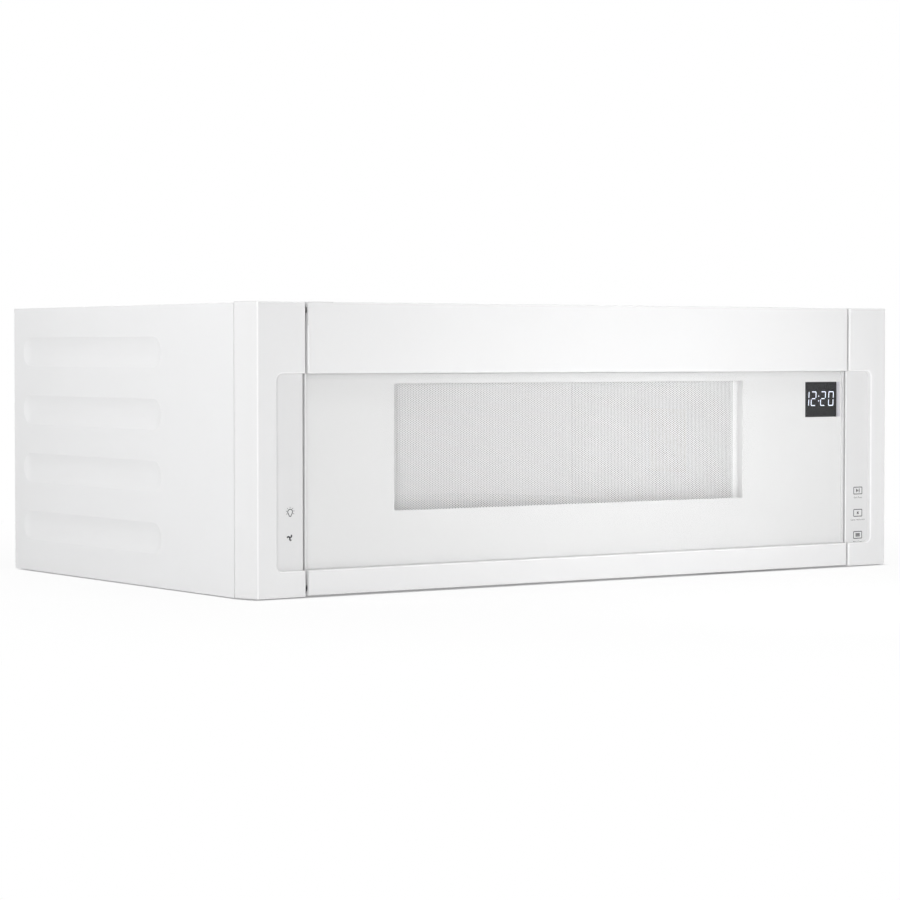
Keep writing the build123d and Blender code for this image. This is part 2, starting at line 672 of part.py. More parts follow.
def cavity_lamp():
    x = lamp_x()
    foot = CAVITY_TOP + SKIN
    top = foot + LAMP_HEIGHT
    cup = block(x, LAMP_SPAN, (foot, top))
    cup -= block(grow(x, -LAMP_SHEET), grow(LAMP_SPAN, -LAMP_SHEET), (foot - 1, top - LAMP_SHEET))
    centre = (sum(x) / 2, sum(LAMP_SPAN) / 2)
    return cup + rod_z(*centre, (foot + BULB_RADIUS, top), BULB_RADIUS)


def waveguide():
    y = (GUIDE_START, GUIDE_START + GUIDE_LENGTH)
    z = (GUIDE_FOOT, GUIDE_FOOT + GUIDE_HEIGHT)
    duct = block((BAY_LEFT, GUIDE_RIGHT), y, z)
    duct += block((BAY_LEFT, BAY_LEFT + PLATE), grow(y, FLANGE), grow(z, FLANGE))
    duct -= block((BAY_LEFT - 1, GUIDE_RIGHT - PLATE), grow(y, -PLATE), grow(z, -PLATE))
    return duct - rod_x((GUIDE_RIGHT - 5, GUIDE_RIGHT + 1), MAGNETRON_Y, MAGNETRON_Z, ANTENNA_RADIUS + 2)


def waveguide_cover():
    port = (GUIDE_START + PORT_MARGIN, GUIDE_START + PORT_MARGIN + PORT_LENGTH)
    z = grow(around(MAGNETRON_Z, PORT_HEIGHT), COVER_MARGIN)
    return block((CAVITY_RIGHT - COVER_SHEET, CAVITY_RIGHT), grow(port, COVER_MARGIN), z)


def magnetron_yoke():
    x = (GUIDE_RIGHT, GUIDE_RIGHT + YOKE_LENGTH)
    y = around(MAGNETRON_Y, YOKE_DEPTH)
    z = around(MAGNETRON_Z, YOKE_HEIGHT)
    frame = block(x, y, z) - block(grow(x, -YOKE_WALL), grow(y, 1), grow(z, -YOKE_WALL))
    box_y = around(MAGNETRON_Y, YOKE_DEPTH - 24)
    frame += block((x[1], x[1] + FILTER_BOX), box_y, around(MAGNETRON_Z, YOKE_HEIGHT - 10))
    terminals = x[1] + FILTER_BOX / 2
    for side in (-1, 1):
        frame += rod_z(terminals, MAGNETRON_Y + 9 * side, (MAGNETRON_Z, z[1] + 4), 3)
    return frame - rod_x(grow(x, 1), MAGNETRON_Y, MAGNETRON_Z, ANTENNA_RADIUS + 1)


def magnetron_core():
    x = (GUIDE_RIGHT + YOKE_WALL, GUIDE_RIGHT + YOKE_LENGTH - YOKE_WALL)
    y = around(MAGNETRON_Y, YOKE_DEPTH - 8)
    z = around(MAGNETRON_Z, YOKE_HEIGHT - 2 * YOKE_WALL)
    core = rod_x(x, MAGNETRON_Y, MAGNETRON_Z, ANODE_RADIUS)
    magnet = 8.0
    core += rod_x((x[0], x[0] + magnet), MAGNETRON_Y, MAGNETRON_Z, ANODE_RADIUS + 7)
    core += rod_x((x[1] - magnet, x[1]), MAGNETRON_Y, MAGNETRON_Z, ANODE_RADIUS + 7)
    core += rod_x((GUIDE_RIGHT - ANTENNA_LENGTH, x[0]), MAGNETRON_Y, MAGNETRON_Z, ANTENNA_RADIUS)
    pitch = (x[1] - x[0] - 2 * magnet) / (FIN_COUNT + 1)
    for index in range(FIN_COUNT):
        centre = x[0] + magnet + pitch * (index + 1)
        core += block(around(centre, FIN_SHEET), y, z)
    return core


def transformer_core():
    x = around(BAY_CENTRE, CORE_WIDTH)
    y = around(MAGNETRON_Y, CORE_DEPTH)
    z = (PLATE, PLATE + CORE_HEIGHT)
    core = block(x, y, z)
    for side in (-1, 1):
        centre = BAY_CENTRE + side * (CORE_WIDTH / 2 - CORE_LEG - CORE_WINDOW / 2)
        core -= block(around(centre, CORE_WINDOW), grow(y, 1), grow(z, -CORE_LEG))
    return core


def transformer_windings():
    """Two coils round the centre leg, one above the other."""
    centre_leg = CORE_WIDTH - 2 * CORE_LEG - 2 * CORE_WINDOW
    inner_z = grow((PLATE, PLATE + CORE_HEIGHT), -CORE_LEG)
    middle = sum(inner_z) / 2
    coils = []
    for z in ((inner_z[0], middle - 1), (middle + 1, inner_z[1])):
        x = around(BAY_CENTRE, centre_leg)
        y = around(MAGNETRON_Y, CORE_DEPTH)
        coil = block(grow(x, CORE_WINDOW), grow(y, COIL_OVERHANG), z)
        coils.append(coil - block(x, y, grow(z, 1)))
    return group(coils)


def capacitor():
    """Oval can standing on the base, with two blade terminals."""
    centre = BAY_CENTRE + CAN_OFFSET
    top = PLATE + CAN_HEIGHT
    outline = Pos(centre, fy(CAN_DEPTH), PLATE) * SlotOverall(CAN_LENGTH, CAN_WIDTH)
    can = extrude(outline, CAN_HEIGHT)
    for side in (-1, 1):
        x = around(centre + side * CAN_LENGTH / 5, TAB_WIDTH)
        can += block(x, around(CAN_DEPTH, TAB_SHEET), (top, top + CAN_TAB))
    return can


def line_filter():
    """Mains filter board on four feet, with its choke and fuse."""
    x = (BAY_CENTRE - MAINS_OFFSET - MAINS_WIDTH, BAY_CENTRE - MAINS_OFFSET)
    y = (CAN_DEPTH + MAINS_BACK - MAINS_LENGTH, CAN_DEPTH + MAINS_BACK)
    foot = (PLATE, PLATE + MAINS_FOOT)
    top = foot[1] + BOARD
    board = block(x, y, (foot[1], top))
    for corner_x in grow(x, -5):
        for corner_y in grow(y, -5):
            board += rod_z(corner_x, corner_y, foot, 3)
    board += rod_z(sum(x) / 2, y[0] + 1.5 * CHOKE_COIL, (top, foot[1] + CHOKE_COIL_TOP), CHOKE_COIL)
    fuse = (y[1] - 18, y[1] - 8)
    return board + block(grow(x, -12), fuse, (top, foot[1] + FUSE_TOP))


def fan_housing():
    """Wall across the component bay with the fan's round mouth and motor spider."""
    wall = (FAN_DEPTH, FAN_DEPTH + 2)
    top = FAN_Z + FAN_RADIUS + 14
    sheet = block((BAY_LEFT, BAY_CENTRE + FAN_RADIUS + 8), wall, (PLATE, top))
    ring = (FAN_DEPTH - FAN_LENGTH, FAN_DEPTH + 2)
    mouth = FAN_RADIUS + TIP_GAP
    sheet += rod_y(BAY_CENTRE, ring, FAN_Z, mouth + 2)
    sheet -= rod_y(BAY_CENTRE, grow(ring, 1), FAN_Z, mouth)
    arm = (FAN_DEPTH, FAN_DEPTH + 2)
    for angle in (45, 135, 225, 315):
        bar = Box(2 * mouth, 2, 6, align=(Align.MIN, Align.MIN, Align.CENTER))
        bar = Pos(BAY_CENTRE, fy(arm[0]), FAN_Z) * Rot(0, angle, 0) * bar
        sheet += bar & rod_y(BAY_CENTRE, arm, FAN_Z, mouth + 1)
    sheet += rod_y(BAY_CENTRE, arm, FAN_Z, FAN_HUB + 2)
    return sheet - rod_y(BAY_CENTRE, grow(arm, 1), FAN_Z, FAN_SHAFT + SHAFT_GAP)


def fan_motor():
    start = FAN_DEPTH + 2
    y = (start, start + FAN_MOTOR_LENGTH)
    core = block(around(BAY_CENTRE, FAN_MOTOR), y, around(FAN_Z, FAN_MOTOR * 0.8))
    coil = (BAY_CENTRE - FAN_MOTOR / 2 - FAN_COIL, BAY_CENTRE - FAN_MOTOR / 2)
    core += block(coil, grow(y, -4), around(FAN_Z, FAN_COIL_HEIGHT))
    return core - rod_y(BAY_CENTRE, grow(y, 1), FAN_Z, FAN_SHAFT + SHAFT_GAP)


def fan_blade():
    start = FAN_DEPTH - FAN_LENGTH + 1
    hub = (start, FAN_DEPTH - 2)
    rotor = rod_y(BAY_CENTRE, hub, FAN_Z, FAN_HUB)
    rotor += rod_y(BAY_CENTRE, (hub[0], FAN_DEPTH + FAN_MOTOR_LENGTH - 4), FAN_Z, FAN_SHAFT)
    middle = sum(hub) / 2
    reach = FAN_RADIUS - FAN_HUB + 3
    for index in range(FAN_BLADES):
        blade = Box(20, 1.4, reach, align=(Align.CENTER, Align.CENTER, Align.MIN))
        blade = Pos(0, 0, FAN_HUB - 3) * Rot(0, 0, 25) * blade
        rotor += Pos(BAY_CENTRE, fy(middle), FAN_Z) * Rot(0, index * 360 / FAN_BLADES, 0) * blade
    return rotor & rod_y(BAY_CENTRE, (hub[0], FAN_DEPTH + FAN_MOTOR_LENGTH), FAN_Z, FAN_RADIUS)


# ------------------------------------------------------- controls and interlock
def carrier_x():
    right = INNER_SIDE - CARRIER_MARGIN
    return (right - CARRIER_WIDTH, right)


def control_carrier():
    z = (CARRIER_FOOT, CARRIER_FOOT + CARRIER_HEIGHT)
    plate = (PLATE_BACK, PLATE_BACK + WALL)
    body = block(carrier_x(), plate, z)
    for x in grow(carrier_x(), -POST_INSET):
        for level in grow(z, -POST_INSET):
            body += rod_y(x, (plate[1], plate[1] + POST_LENGTH), level, CARRIER_POST)
    return body


def on_board(corner, face, size):
    """A component of (width, height, depth) whose lower left corner is given."""
    x = (corner[0], corner[0] + size[0])
    return block(x, (face, face + size[2]), (corner[1], corner[1] + size[1]))


def control_board():
    """Power and control board with its transformer, three relays, socket and capacitor."""
    z = grow((CARRIER_FOOT, CARRIER_FOOT + CARRIER_HEIGHT), -BOARD_INSET)
    x = grow(carrier_x(), -BOARD_INSET)
    start = PLATE_BACK + WALL + POST_LENGTH
    face = start + BOARD
    board = block(x, (start, face), z)
    board += on_board((x[0] + 8, z[0] + 10), face, MAINS_COIL)
    for index in range(3):
        board += on_board((x[0] + 6 + RELAY_PITCH * index, z[1] - 4 - RELAY[1]), face, RELAY)
    board += on_board((x[1] - 10 - SOCKET[0], z[0] + 20), face, SOCKET)
    return board + rod_y(x[0] + CAP_AT[0], (face, face + CAP_LENGTH), z[0] + CAP_AT[1], CAP_RADIUS)


def interlock_holder():
    """Guide box round the two door fingers, open towards the door and to the right."""
    z = grow((FINGER_LOW, FINGER_HIGH), HOLDER_LIP)
    x = (BAY_LEFT + FLANGE + 1, FINGER_X + SWITCH_SIZE)
    y = (PLATE_BACK, PLATE_BACK + HOLDER_LENGTH)
    body = block(x, y, z)
    room = (FINGER_X - SWITCH_SIZE / 2, x[1] + 1)
    return body - block(room, (y[0] - 1, y[1] - HOLDER_WALL), grow(z, -HOLDER_WALL))


def interlock_switches():
    """Three snap-action switches on the guide box beside the fingers."""
    left = FINGER_X + SWITCH_OFFSET
    y = (PLATE_BACK + SWITCH_END - SWITCH_LENGTH, PLATE_BACK + SWITCH_END)
    reach = HOLDER_LIP - HOLDER_WALL - SWITCH_SIZE / 2
    switches = []
    for z in (FINGER_LOW - reach, (FINGER_LOW + FINGER_HIGH) / 2, FINGER_HIGH + reach):
        switches.append(block((left, left + SWITCH_SIZE), y, around(z, SWITCH_SIZE)))
    return group(switches)


def catch_magnet():
    """Magnet that holds the steel strike plate of the closed door."""
    face = DOOR_BACK + RUN_GAP
    x = around(STRIKE_X, STRIKE_SIZE)
    z = around(STRIKE_Z, STRIKE_SIZE)
    body = block(grow(x, MAGNET_RIM), (PLATE_BACK, PLATE_BACK + MAGNET_BODY), grow(z, MAGNET_RIM))
    return body + block(x, (face, PLATE_BACK), z)


def thermal_cutouts():
    """Two thermal cut-outs, one on the cavity's side and one on the magnetron."""
    span = (BAY_LEFT, BAY_LEFT + CUTOUT_LENGTH)
    on_cavity = rod_x(span, CAVITY_END - CUTOUT_BACK, CAVITY_TOP - CUTOUT_DROP, CUTOUT_RADIUS)
    top = MAGNETRON_Z + YOKE_HEIGHT / 2
    at = (GUIDE_RIGHT + YOKE_LENGTH / 2, MAGNETRON_Y)
    return group([on_cavity, rod_z(*at, (top, top + CUTOUT_LENGTH), CUTOUT_RADIUS)])


# ------------------------------------------------------------------ vent blower
def blower_housing():
    """Right scroll: a drum round the wheel and a straight outlet to the roof."""
    x = (SCROLL_INNER, SCROLL_OUTER)
    outer = rod_x(x, BLOWER_DEPTH, BLOWER_Z, SCROLL_RADIUS)
    top = EXHAUST_BOTTOM
    outlet_y = around(BLOWER_DEPTH, EXHAUST_DEPTH)
    outer += block(x, outlet_y, (BLOWER_Z, top))
    room = grow(x, -SCROLL_WALL)
    inside = rod_x(room, BLOWER_DEPTH, BLOWER_Z, SCROLL_RADIUS - SCROLL_WALL)
    inside += block(room, grow(outlet_y, -SCROLL_WALL), (BLOWER_Z, top + 1))
    return outer - inside - rod_x(grow(x, 1), BLOWER_DEPTH, BLOWER_Z, INLET_RADIUS)


def blower_wheel():
    """Right squirrel-cage wheel: hub disc, two rings and forward blades."""
    x = (SCROLL_INNER + WHEEL_SIDE_GAP, SCROLL_OUTER - WHEEL_SIDE_GAP)
    rim = 6.0
    wheel = rod_x((x[0], x[0] + 2), BLOWER_DEPTH, BLOWER_Z, WHEEL_RADIUS)
    end = rod_x((x[1] - 3, x[1]), BLOWER_DEPTH, BLOWER_Z, WHEEL_RADIUS)
    wheel += end - rod_x(grow(x, 1), BLOWER_DEPTH, BLOWER_Z, WHEEL_RADIUS - rim)
    wheel += rod_x((x[0], x[0] + 14), BLOWER_DEPTH, BLOWER_Z, BLOWER_SHAFT + 4)
    for index in range(WHEEL_BLADES):
        vane = Box(x[1] - x[0], 0.8, rim - 1, align=(Align.MIN, Align.CENTER, Align.MIN))
        vane = Rot(index * 360 / WHEEL_BLADES, 0, 0) * Pos(0, 0, WHEEL_RADIUS - rim + 0.5) * vane
        wheel += Pos(x[0], fy(BLOWER_DEPTH), BLOWER_Z) * vane
    return wheel - rod_x(grow(x, 1), BLOWER_DEPTH, BLOWER_Z, BLOWER_SHAFT + SHAFT_GAP)


def blower_shaft():
    reach = SCROLL_INNER + WHEEL_SIDE_GAP + 20
    return rod_x((-reach, reach), BLOWER_DEPTH, BLOWER_Z, BLOWER_SHAFT)


def blower_motor():
    half = BLOWER_MOTOR_LENGTH / 2
    can = rod_x((-half, half), BLOWER_DEPTH, BLOWER_Z, BLOWER_MOTOR)
    can += rod_x((-half - 5, half + 5), BLOWER_DEPTH, BLOWER_Z, 11)
    return can - rod_x((-half - 6, half + 6), BLOWER_DEPTH, BLOWER_Z, BLOWER_SHAFT + SHAFT_GAP)


def flap_axis():
    """Depth and height of the damper's hinge line."""
    depth = BLOWER_DEPTH + EXHAUST_DEPTH / 2 - EXHAUST_WALL - FLAP_INSET
    return (depth, EXHAUST_BOTTOM + EXHAUST_HEIGHT / 2)


def exhaust_frame():
    x = around(0, EXHAUST_WIDTH)
    y = around(BLOWER_DEPTH, EXHAUST_DEPTH)
    collar = block(x, y, (EXHAUST_BOTTOM, CEILING))
    collar += block(grow(x, EXHAUST_LIP), (y[0] - EXHAUST_LIP, y[1]), (CEILING - EXHAUST_WALL, CEILING))
    collar -= block(grow(x, -EXHAUST_WALL), grow(y, -EXHAUST_WALL), (EXHAUST_BOTTOM - 1, CEILING + 1))
    return collar - rod_x(grow(x, 1), *flap_axis(), FLAP_PIN + SHAFT_GAP)


def damper_flap():
    depth, z = flap_axis()
    half = EXHAUST_WIDTH / 2 - EXHAUST_WALL - RUN_GAP
    front = BLOWER_DEPTH - EXHAUST_DEPTH / 2 + EXHAUST_WALL + RUN_GAP
    leaf = block((-half, half), (front, depth + FLAP_INSET - RUN_GAP), around(z, FLAP))
    return leaf + rod_x((-EXHAUST_WIDTH / 2, EXHAUST_WIDTH / 2), depth, z, FLAP_PIN)


# ------------------------------------------------------------- filters and lamps
def grease_filter(side):
    """Frame and mesh pad that lies on the edge of its opening in the base."""
    x = filter_x(side)
    z = (PLATE + RUN_GAP, PLATE + RUN_GAP + FILTER_THICK)
    frame = block(x, FILTER_SPAN, z)
    frame -= block(grow(x, -8), grow(FILTER_SPAN, -8), grow(z, 1))
    pad = block(grow(x, -8), grow(FILTER_SPAN, -8), grow(z, -1.5))
    return frame + pad


def filter_rails(side):
    """Two angle rails that guide one grease filter and carry the charcoal pad."""
    top = PLATE + 2 * RUN_GAP + FILTER_THICK
    along = (FILTER_SPAN[0] - FILTER_TRAVEL, FILTER_SPAN[1])
    rails = []
    for end in (0, 1):
        edge = filter_x(side)[end]
        away = 1 if end else -1
        stand = sorted((edge + away * RUN_GAP, edge + away * (RUN_GAP + RAIL_SHEET)))
        lip = sorted((edge - away * RAIL_LIP, edge + away * (RUN_GAP + RAIL_SHEET)))
        rail = block(stand, along, (PLATE, top + RAIL_SHEET))
        rails.append(rail + block(lip, along, (top, top + RAIL_SHEET)))
    return rails


def charcoal_filter(side):
    foot = PLATE + 2 * RUN_GAP + FILTER_THICK + RAIL_SHEET
    return block(filter_x(side), FILTER_SPAN, (foot, foot + CHARCOAL))


def lamp_lens(side):
    """Clear cup let into the base over one cooktop lamp."""
    x = around(CAVITY_X + side * LENS_X, LENS_WIDTH)
    cup = block(x, LENS_SPAN, (0, LENS_HEIGHT))
    cup += block(grow(x, LENS_LIP), grow(LENS_SPAN, LENS_LIP), (PLATE, PLATE + LENS_THICK))
    return cup - block(grow(x, -LENS_WALL), grow(LENS_SPAN, -LENS_WALL), (LENS_THICK, LENS_HEIGHT + 1))


def lamp_board(side):
    """Board with six light-emitting diodes on top of one lens cup."""
    x = around(CAVITY_X + side * LENS_X, LENS_WIDTH)
    board = block(x, LENS_SPAN, (LENS_HEIGHT, LENS_HEIGHT + BOARD))
    for index in range(6):
        centre = x[0] + LENS_WIDTH * (index + 0.5) / 6
        board += block(around(centre, 4), around(sum(LENS_SPAN) / 2, 4), (LENS_HEIGHT - 1, LENS_HEIGHT))
    return board


# -------------------------------------------------------------------- turntable
ROLLER_Z = CAVITY_FLOOR + RUN_GAP + ROLLER_RADIUS
TRAY_Z = ROLLER_Z + ROLLER_RADIUS + RUN_GAP


def turntable_motor():
    top = CAVITY_FLOOR - SKIN
    at = (CAVITY_X, TRAY_Y)
    can = rod_z(*at, (top - MOTOR_HEIGHT, top), MOTOR_RADIUS)
    can += block(around(CAVITY_X, 2 * MOTOR_RADIUS + 16), around(TRAY_Y, 12), (top - 1.5, top))
    return can - rod_z(*at, (top - MOTOR_HEIGHT + 4, top + 1), SHAFT_RADIUS + SHAFT_GAP)


def turntable_coupler():
    """Motor shaft with the three-armed driver under the tray."""
    at = (CAVITY_X, TRAY_Y)
    foot = CAVITY_FLOOR - SKIN - MOTOR_HEIGHT + 5
    hub = (CAVITY_FLOOR + 2, TRAY_Z)
    body = rod_z(*at, (foot, hub[1]), SHAFT_RADIUS)
    body += rod_z(*at, hub, SHAFT_RADIUS + 5)
    for index in range(3):
        arm = Box(COUPLER_ARM, 6, TRAY_Z - hub[0] - 4, align=(Align.MIN, Align.CENTER, Align.MIN))
        body += Pos(CAVITY_X, fy(TRAY_Y), hub[0] + 4) * Rot(0, 0, 120 * index + 30) * arm
    return body


def turntable_tray():
    """Glass dish: flat middle and a raised, flared rim."""
    rim = TRAY_RIM
    flare = 6.0
    profile = Polyline(
        (0, 0),
        (TRAY_RADIUS - flare - 6, 0),
        (TRAY_RADIUS, rim),
        (TRAY_RADIUS - TRAY_THICK, rim),
        (TRAY_RADIUS - flare - 9, TRAY_THICK),
        (0, TRAY_THICK),
        close=True,
    )
    dish = revolve(Plane.XZ * make_face(profile), Axis.Z)
    return Pos(CAVITY_X, fy(TRAY_Y), TRAY_Z) * dish


def roller_ring():
    ring_outer = ROLLER_CIRCLE - ROLLER_WIDTH / 2 - 3
    z = around(ROLLER_Z, RING_THICK)
    at = (CAVITY_X, TRAY_Y)
    ring = rod_z(*at, z, ring_outer) - rod_z(*at, grow(z, 1), ring_outer - RING_WIDTH)
    for index in range(3):
        axle = Cylinder(AXLE_RADIUS, ROLLER_WIDTH + 8, align=(Align.CENTER, Align.CENTER, Align.MIN))
        end = Cylinder(AXLE_RADIUS + 1.2, 2, align=(Align.CENTER, Align.CENTER, Align.MIN))
        place = Pos(CAVITY_X, fy(TRAY_Y), ROLLER_Z) * Rot(0, 0, 120 * index + 90) * Rot(0, 90, 0)
        ring += place * Pos(0, 0, ring_outer - 3) * axle
        ring += place * Pos(0, 0, ROLLER_CIRCLE + ROLLER_WIDTH / 2 + RUN_GAP) * end
    return ring


def roller(index):
    wheel = Cylinder(ROLLER_RADIUS, ROLLER_WIDTH) - Cylinder(AXLE_RADIUS + SHAFT_GAP, ROLLER_WIDTH + 1)
    place = Pos(CAVITY_X, fy(TRAY_Y), ROLLER_Z) * Rot(0, 0, 120 * index + 90) * Rot(0, 90, 0)
    return place * Pos(0, 0, ROLLER_CIRCLE) * wheel


# ------------------------------------------------------------------------- door
DOOR_Z = (DOOR_FOOT, HEIGHT)
POCKET_X = (-DOOR_SIDE + RAIL, DOOR_SIDE - WALL)
BUSH_RADIUS = PIN_RADIUS + SHAFT_GAP + BUSH_WALL


def pin_z(upper):
    """Height span of the pin that stands out of one hinge ear."""
    ear = hinge_z(upper)
    if upper:
        return (ear[0] - PIN_LENGTH, ear[0])
    return (ear[1], ear[1] + PIN_LENGTH)


def bush_z(upper):
    pin = pin_z(upper)
    if upper:
        return (pin[0] - 1, pin[1] - 1.3)
    return (pin[0] + 1.3, pin[1] + 1)


def hinge_block(upper):
    """Solid corner of the door moulding round one hinge bush."""
    z = (HEIGHT - LOWER_BAND + WALL, HEIGHT) if upper else (DOOR_FOOT, LOWER_BAND - 1)
    return block((-DOOR_SIDE, AXIS_X + BUSH_RADIUS + WALL + 6), (0, DOOR_BACK - BACK_CHAMFER), z)


def door_frame():
    body = block((-DOOR_SIDE, DOOR_SIDE), (0, DOOR_BACK), DOOR_Z)
    body -= block((-DOOR_SIDE - 1, DOOR_SIDE + 1), (-1, RECESS_DEPTH), (RECESS_BOTTOM, RECESS_TOP))
    body = fillet(front_edges(body), EDGE_ROUND)
    for x in (-DOOR_SIDE, DOOR_SIDE):
        body = fillet(sunk_edges(body, x), SUNK_ROUND)
    seat_x = (-GLASS_SIDE - GLASS_GAP, GLASS_SIDE + GLASS_GAP)
    body -= block(seat_x, (RECESS_DEPTH - 1, SEAT), grow((RECESS_BOTTOM, RECESS_TOP), -GLASS_GAP))
    inside_z = grow(DOOR_Z, -WALL)
    body -= block(POCKET_X, (SCREEN_DEPTH, DOOR_BACK + 1), inside_z)
    body -= block(POCKET_X, (WALL, SCREEN_DEPTH + 1), (RECESS_TOP + WALL, inside_z[1]))
    body -= block(POCKET_X, (WALL, SCREEN_DEPTH + 1), (inside_z[0], RECESS_BOTTOM - WALL))
    sight = (RECESS_BOTTOM + LEDGE, RECESS_TOP - LEDGE + 3)
    body -= block((CHOKE_LEFT + CHOKE_LAP, STILE_LEFT), (SEAT - 1, SCREEN_DEPTH + 1), sight)
    body -= block((STILE_LEFT + STILE, POCKET_X[1]), (SEAT - 1, SCREEN_DEPTH + 1), sight)
    outside = (-DOOR_SIDE - 1, fy(DOOR_BACK + 1))
    along_side = (outside[0], outside[1] - BACK_CHAMFER - 2)
    along_back = (outside[0] + BACK_CHAMFER + 2, outside[1])
    body -= extrude(make_face(Polyline(outside, along_side, along_back, close=True)), HEIGHT + 1)
    for upper in (False, True):
        body += hinge_block(upper)
    body = body - hinge_notch(False) - hinge_notch(True)
    for upper in (False, True):
        body -= rod_z(AXIS_X, AXIS_DEPTH, bush_z(upper), BUSH_RADIUS)
        pin = pin_z(upper)
        body -= rod_z(AXIS_X, AXIS_DEPTH, grow(pin, 1), PIN_RADIUS + 0.6)
    grip_x = around(GRIP_X, GRIP_WIDTH)
    grip_y = (GRIP_FRONT, GRIP_FRONT + GRIP_DEPTH)
    grip_z = (DOOR_FOOT, DOOR_FOOT + GRIP_HEIGHT)
    body += block(grow(grip_x, WALL), grow(grip_y, WALL), (grip_z[0], grip_z[1] + WALL))
    return body - block(grip_x, grip_y, (grip_z[0] - 1, grip_z[1]))


def hinge_notch(upper):
    """Slot in the door that clears one hinge ear as the door swings."""
    z = grow(hinge_z(upper), 1)
    clear = AXIS_DEPTH - PIN_RADIUS - 0.5 - 1.2
    return block((-DOOR_SIDE - 1, ear_x()[1] + 1), (clear, DOOR_BACK + 1), z)


def door_glass():
    z = grow((RECESS_BOTTOM, RECESS_TOP), -2 * GLASS_GAP)
    return block((-GLASS_SIDE, GLASS_SIDE), (RECESS_DEPTH, GLASS_BACK), z)


def glass_print():
    """White print on the back of the glass, left clear at the window and the display."""
    z = grow((RECESS_BOTTOM, RECESS_TOP), -2 * GLASS_GAP)
    sheet = block((-GLASS_SIDE, GLASS_SIDE), (GLASS_BACK, SEAT), z)
    through = (GLASS_BACK - 1, SEAT + 1)
    sheet -= block((WINDOW_LEFT, WINDOW_RIGHT), through, (WINDOW_BOTTOM, WINDOW_TOP))
    return sheet - block((DISPLAY_LEFT, DISPLAY_RIGHT), through, (DISPLAY_BOTTOM, DISPLAY_TOP))


def screen_opening():
    return ((WINDOW_LEFT - 3, SCREEN_RIGHT), (WINDOW_BOTTOM - SCREEN_LAP, WINDOW_TOP + SCREEN_LAP))


def pane_opening():
    x, z = screen_opening()
    return (grow(x, 2 * PANE_LAP), grow(z, PANE_LAP / 2))


def choke_frame():
    """Pressed steel pan: plate, outer wall and the inner wall that seats the pane."""
    x = (CHOKE_LEFT, CHOKE_RIGHT)
    z = (CHOKE_BOTTOM, CHOKE_TOP)
    pan = block(x, (SCREEN_DEPTH, COVER_FRONT), z)
    pan -= block(grow(x, -SKIN), (SCREEN_DEPTH + SKIN, COVER_FRONT + 1), grow(z, -SKIN))
    inner_x, inner_z = pane_opening()
    wall = block(grow(inner_x, PANE_LAP), (SCREEN_DEPTH, COVER_FRONT - PANE), grow(inner_z, PANE_LAP))
    room = PANE_LAP - SKIN
    wall -= block(grow(inner_x, room), (SCREEN_DEPTH - 1, COVER_FRONT), grow(inner_z, room))
    pan += wall
    hole_x, hole_z = screen_opening()
    return pan - block(hole_x, (SCREEN_DEPTH - 1, SCREEN_DEPTH + SKIN + 0.1), hole_z)


def door_screen():
    x, z = screen_opening()
    start = SCREEN_DEPTH + SKIN
    return block(grow(x, SCREEN_LAP), (start, start + SCREEN_SHEET), grow(z, SCREEN_LAP))


def inner_pane():
    x, z = pane_opening()
    return block(grow(x, PANE_LAP), (COVER_FRONT - PANE, COVER_FRONT), grow(z, PANE_LAP))


def choke_cover():
    x = (POCKET_X[0], POCKET_X[1])
    sheet = block(x, (COVER_FRONT, DOOR_BACK), grow(DOOR_Z, -WALL))
    through = (COVER_FRONT - 1, DOOR_BACK + 1)
    hole_x, hole_z = pane_opening()
    sheet -= block(hole_x, through, hole_z)
    for upper in (False, True):
        sheet -= block(around(FINGER_X, FINGER_WIDTH), through, finger_z(upper))
    sheet -= hinge_notch(False)
    sheet -= hinge_notch(True)
    return sheet - block(around(STRIKE_X, STRIKE_SIZE), through, around(STRIKE_Z, STRIKE_SIZE))


def strike_plate():
    """Steel plate in the back cover that the magnet holds."""
    x = around(STRIKE_X, STRIKE_SIZE)
    z = around(STRIKE_Z, STRIKE_SIZE)
    plate = block(grow(x, STRIKE_RIM), (COVER_FRONT - PLATE, COVER_FRONT), grow(z, STRIKE_RIM))
    return plate + block(x, (COVER_FRONT, DOOR_BACK), z)


def interlock_fingers():
    """Bar behind the back cover with the two fingers that press the switches."""
    height = grow((FINGER_LOW, FINGER_HIGH), FINGER_BAR_REACH)
    bar = block(around(FINGER_X, FINGER_WIDTH + 4), (COVER_FRONT - FINGER_BAR, COVER_FRONT), height)
    for upper in (False, True):
        span = (COVER_FRONT - 1, DOOR_BACK + FINGER_REACH)
        bar += block(around(FINGER_X, FINGER_WIDTH), span, finger_z(upper))
    return bar


def display_module():
    """Dark display block behind its clear opening in the print, with its board."""
    x = (STILE_LEFT + STILE + 1, POCKET_X[1])
    start = DISPLAY_SINK + DISPLAY_BODY
    face = block(x, (DISPLAY_SINK, start), (DISPLAY_BOTTOM - 2, DISPLAY_TOP + 1))
    board = block(x, (start, start + BOARD), (DISPLAY_BOTTOM - 30, DISPLAY_TOP + 4))
    plug = (DISPLAY_BOTTOM - 26, DISPLAY_BOTTOM - 18)
    board += block(around(sum(x) / 2, 16), (start + BOARD, start + BOARD + 5), plug)
    return group([face, board])


def hinge_bushes():
    bushes = []
    for upper in (False, True):
        bush = rod_z(AXIS_X, AXIS_DEPTH, bush_z(upper), BUSH_RADIUS)
        bushes.append(bush - rod_z(AXIS_X, AXIS_DEPTH, grow(bush_z(upper), 1), PIN_RADIUS + SHAFT_GAP))
    return group(bushes)


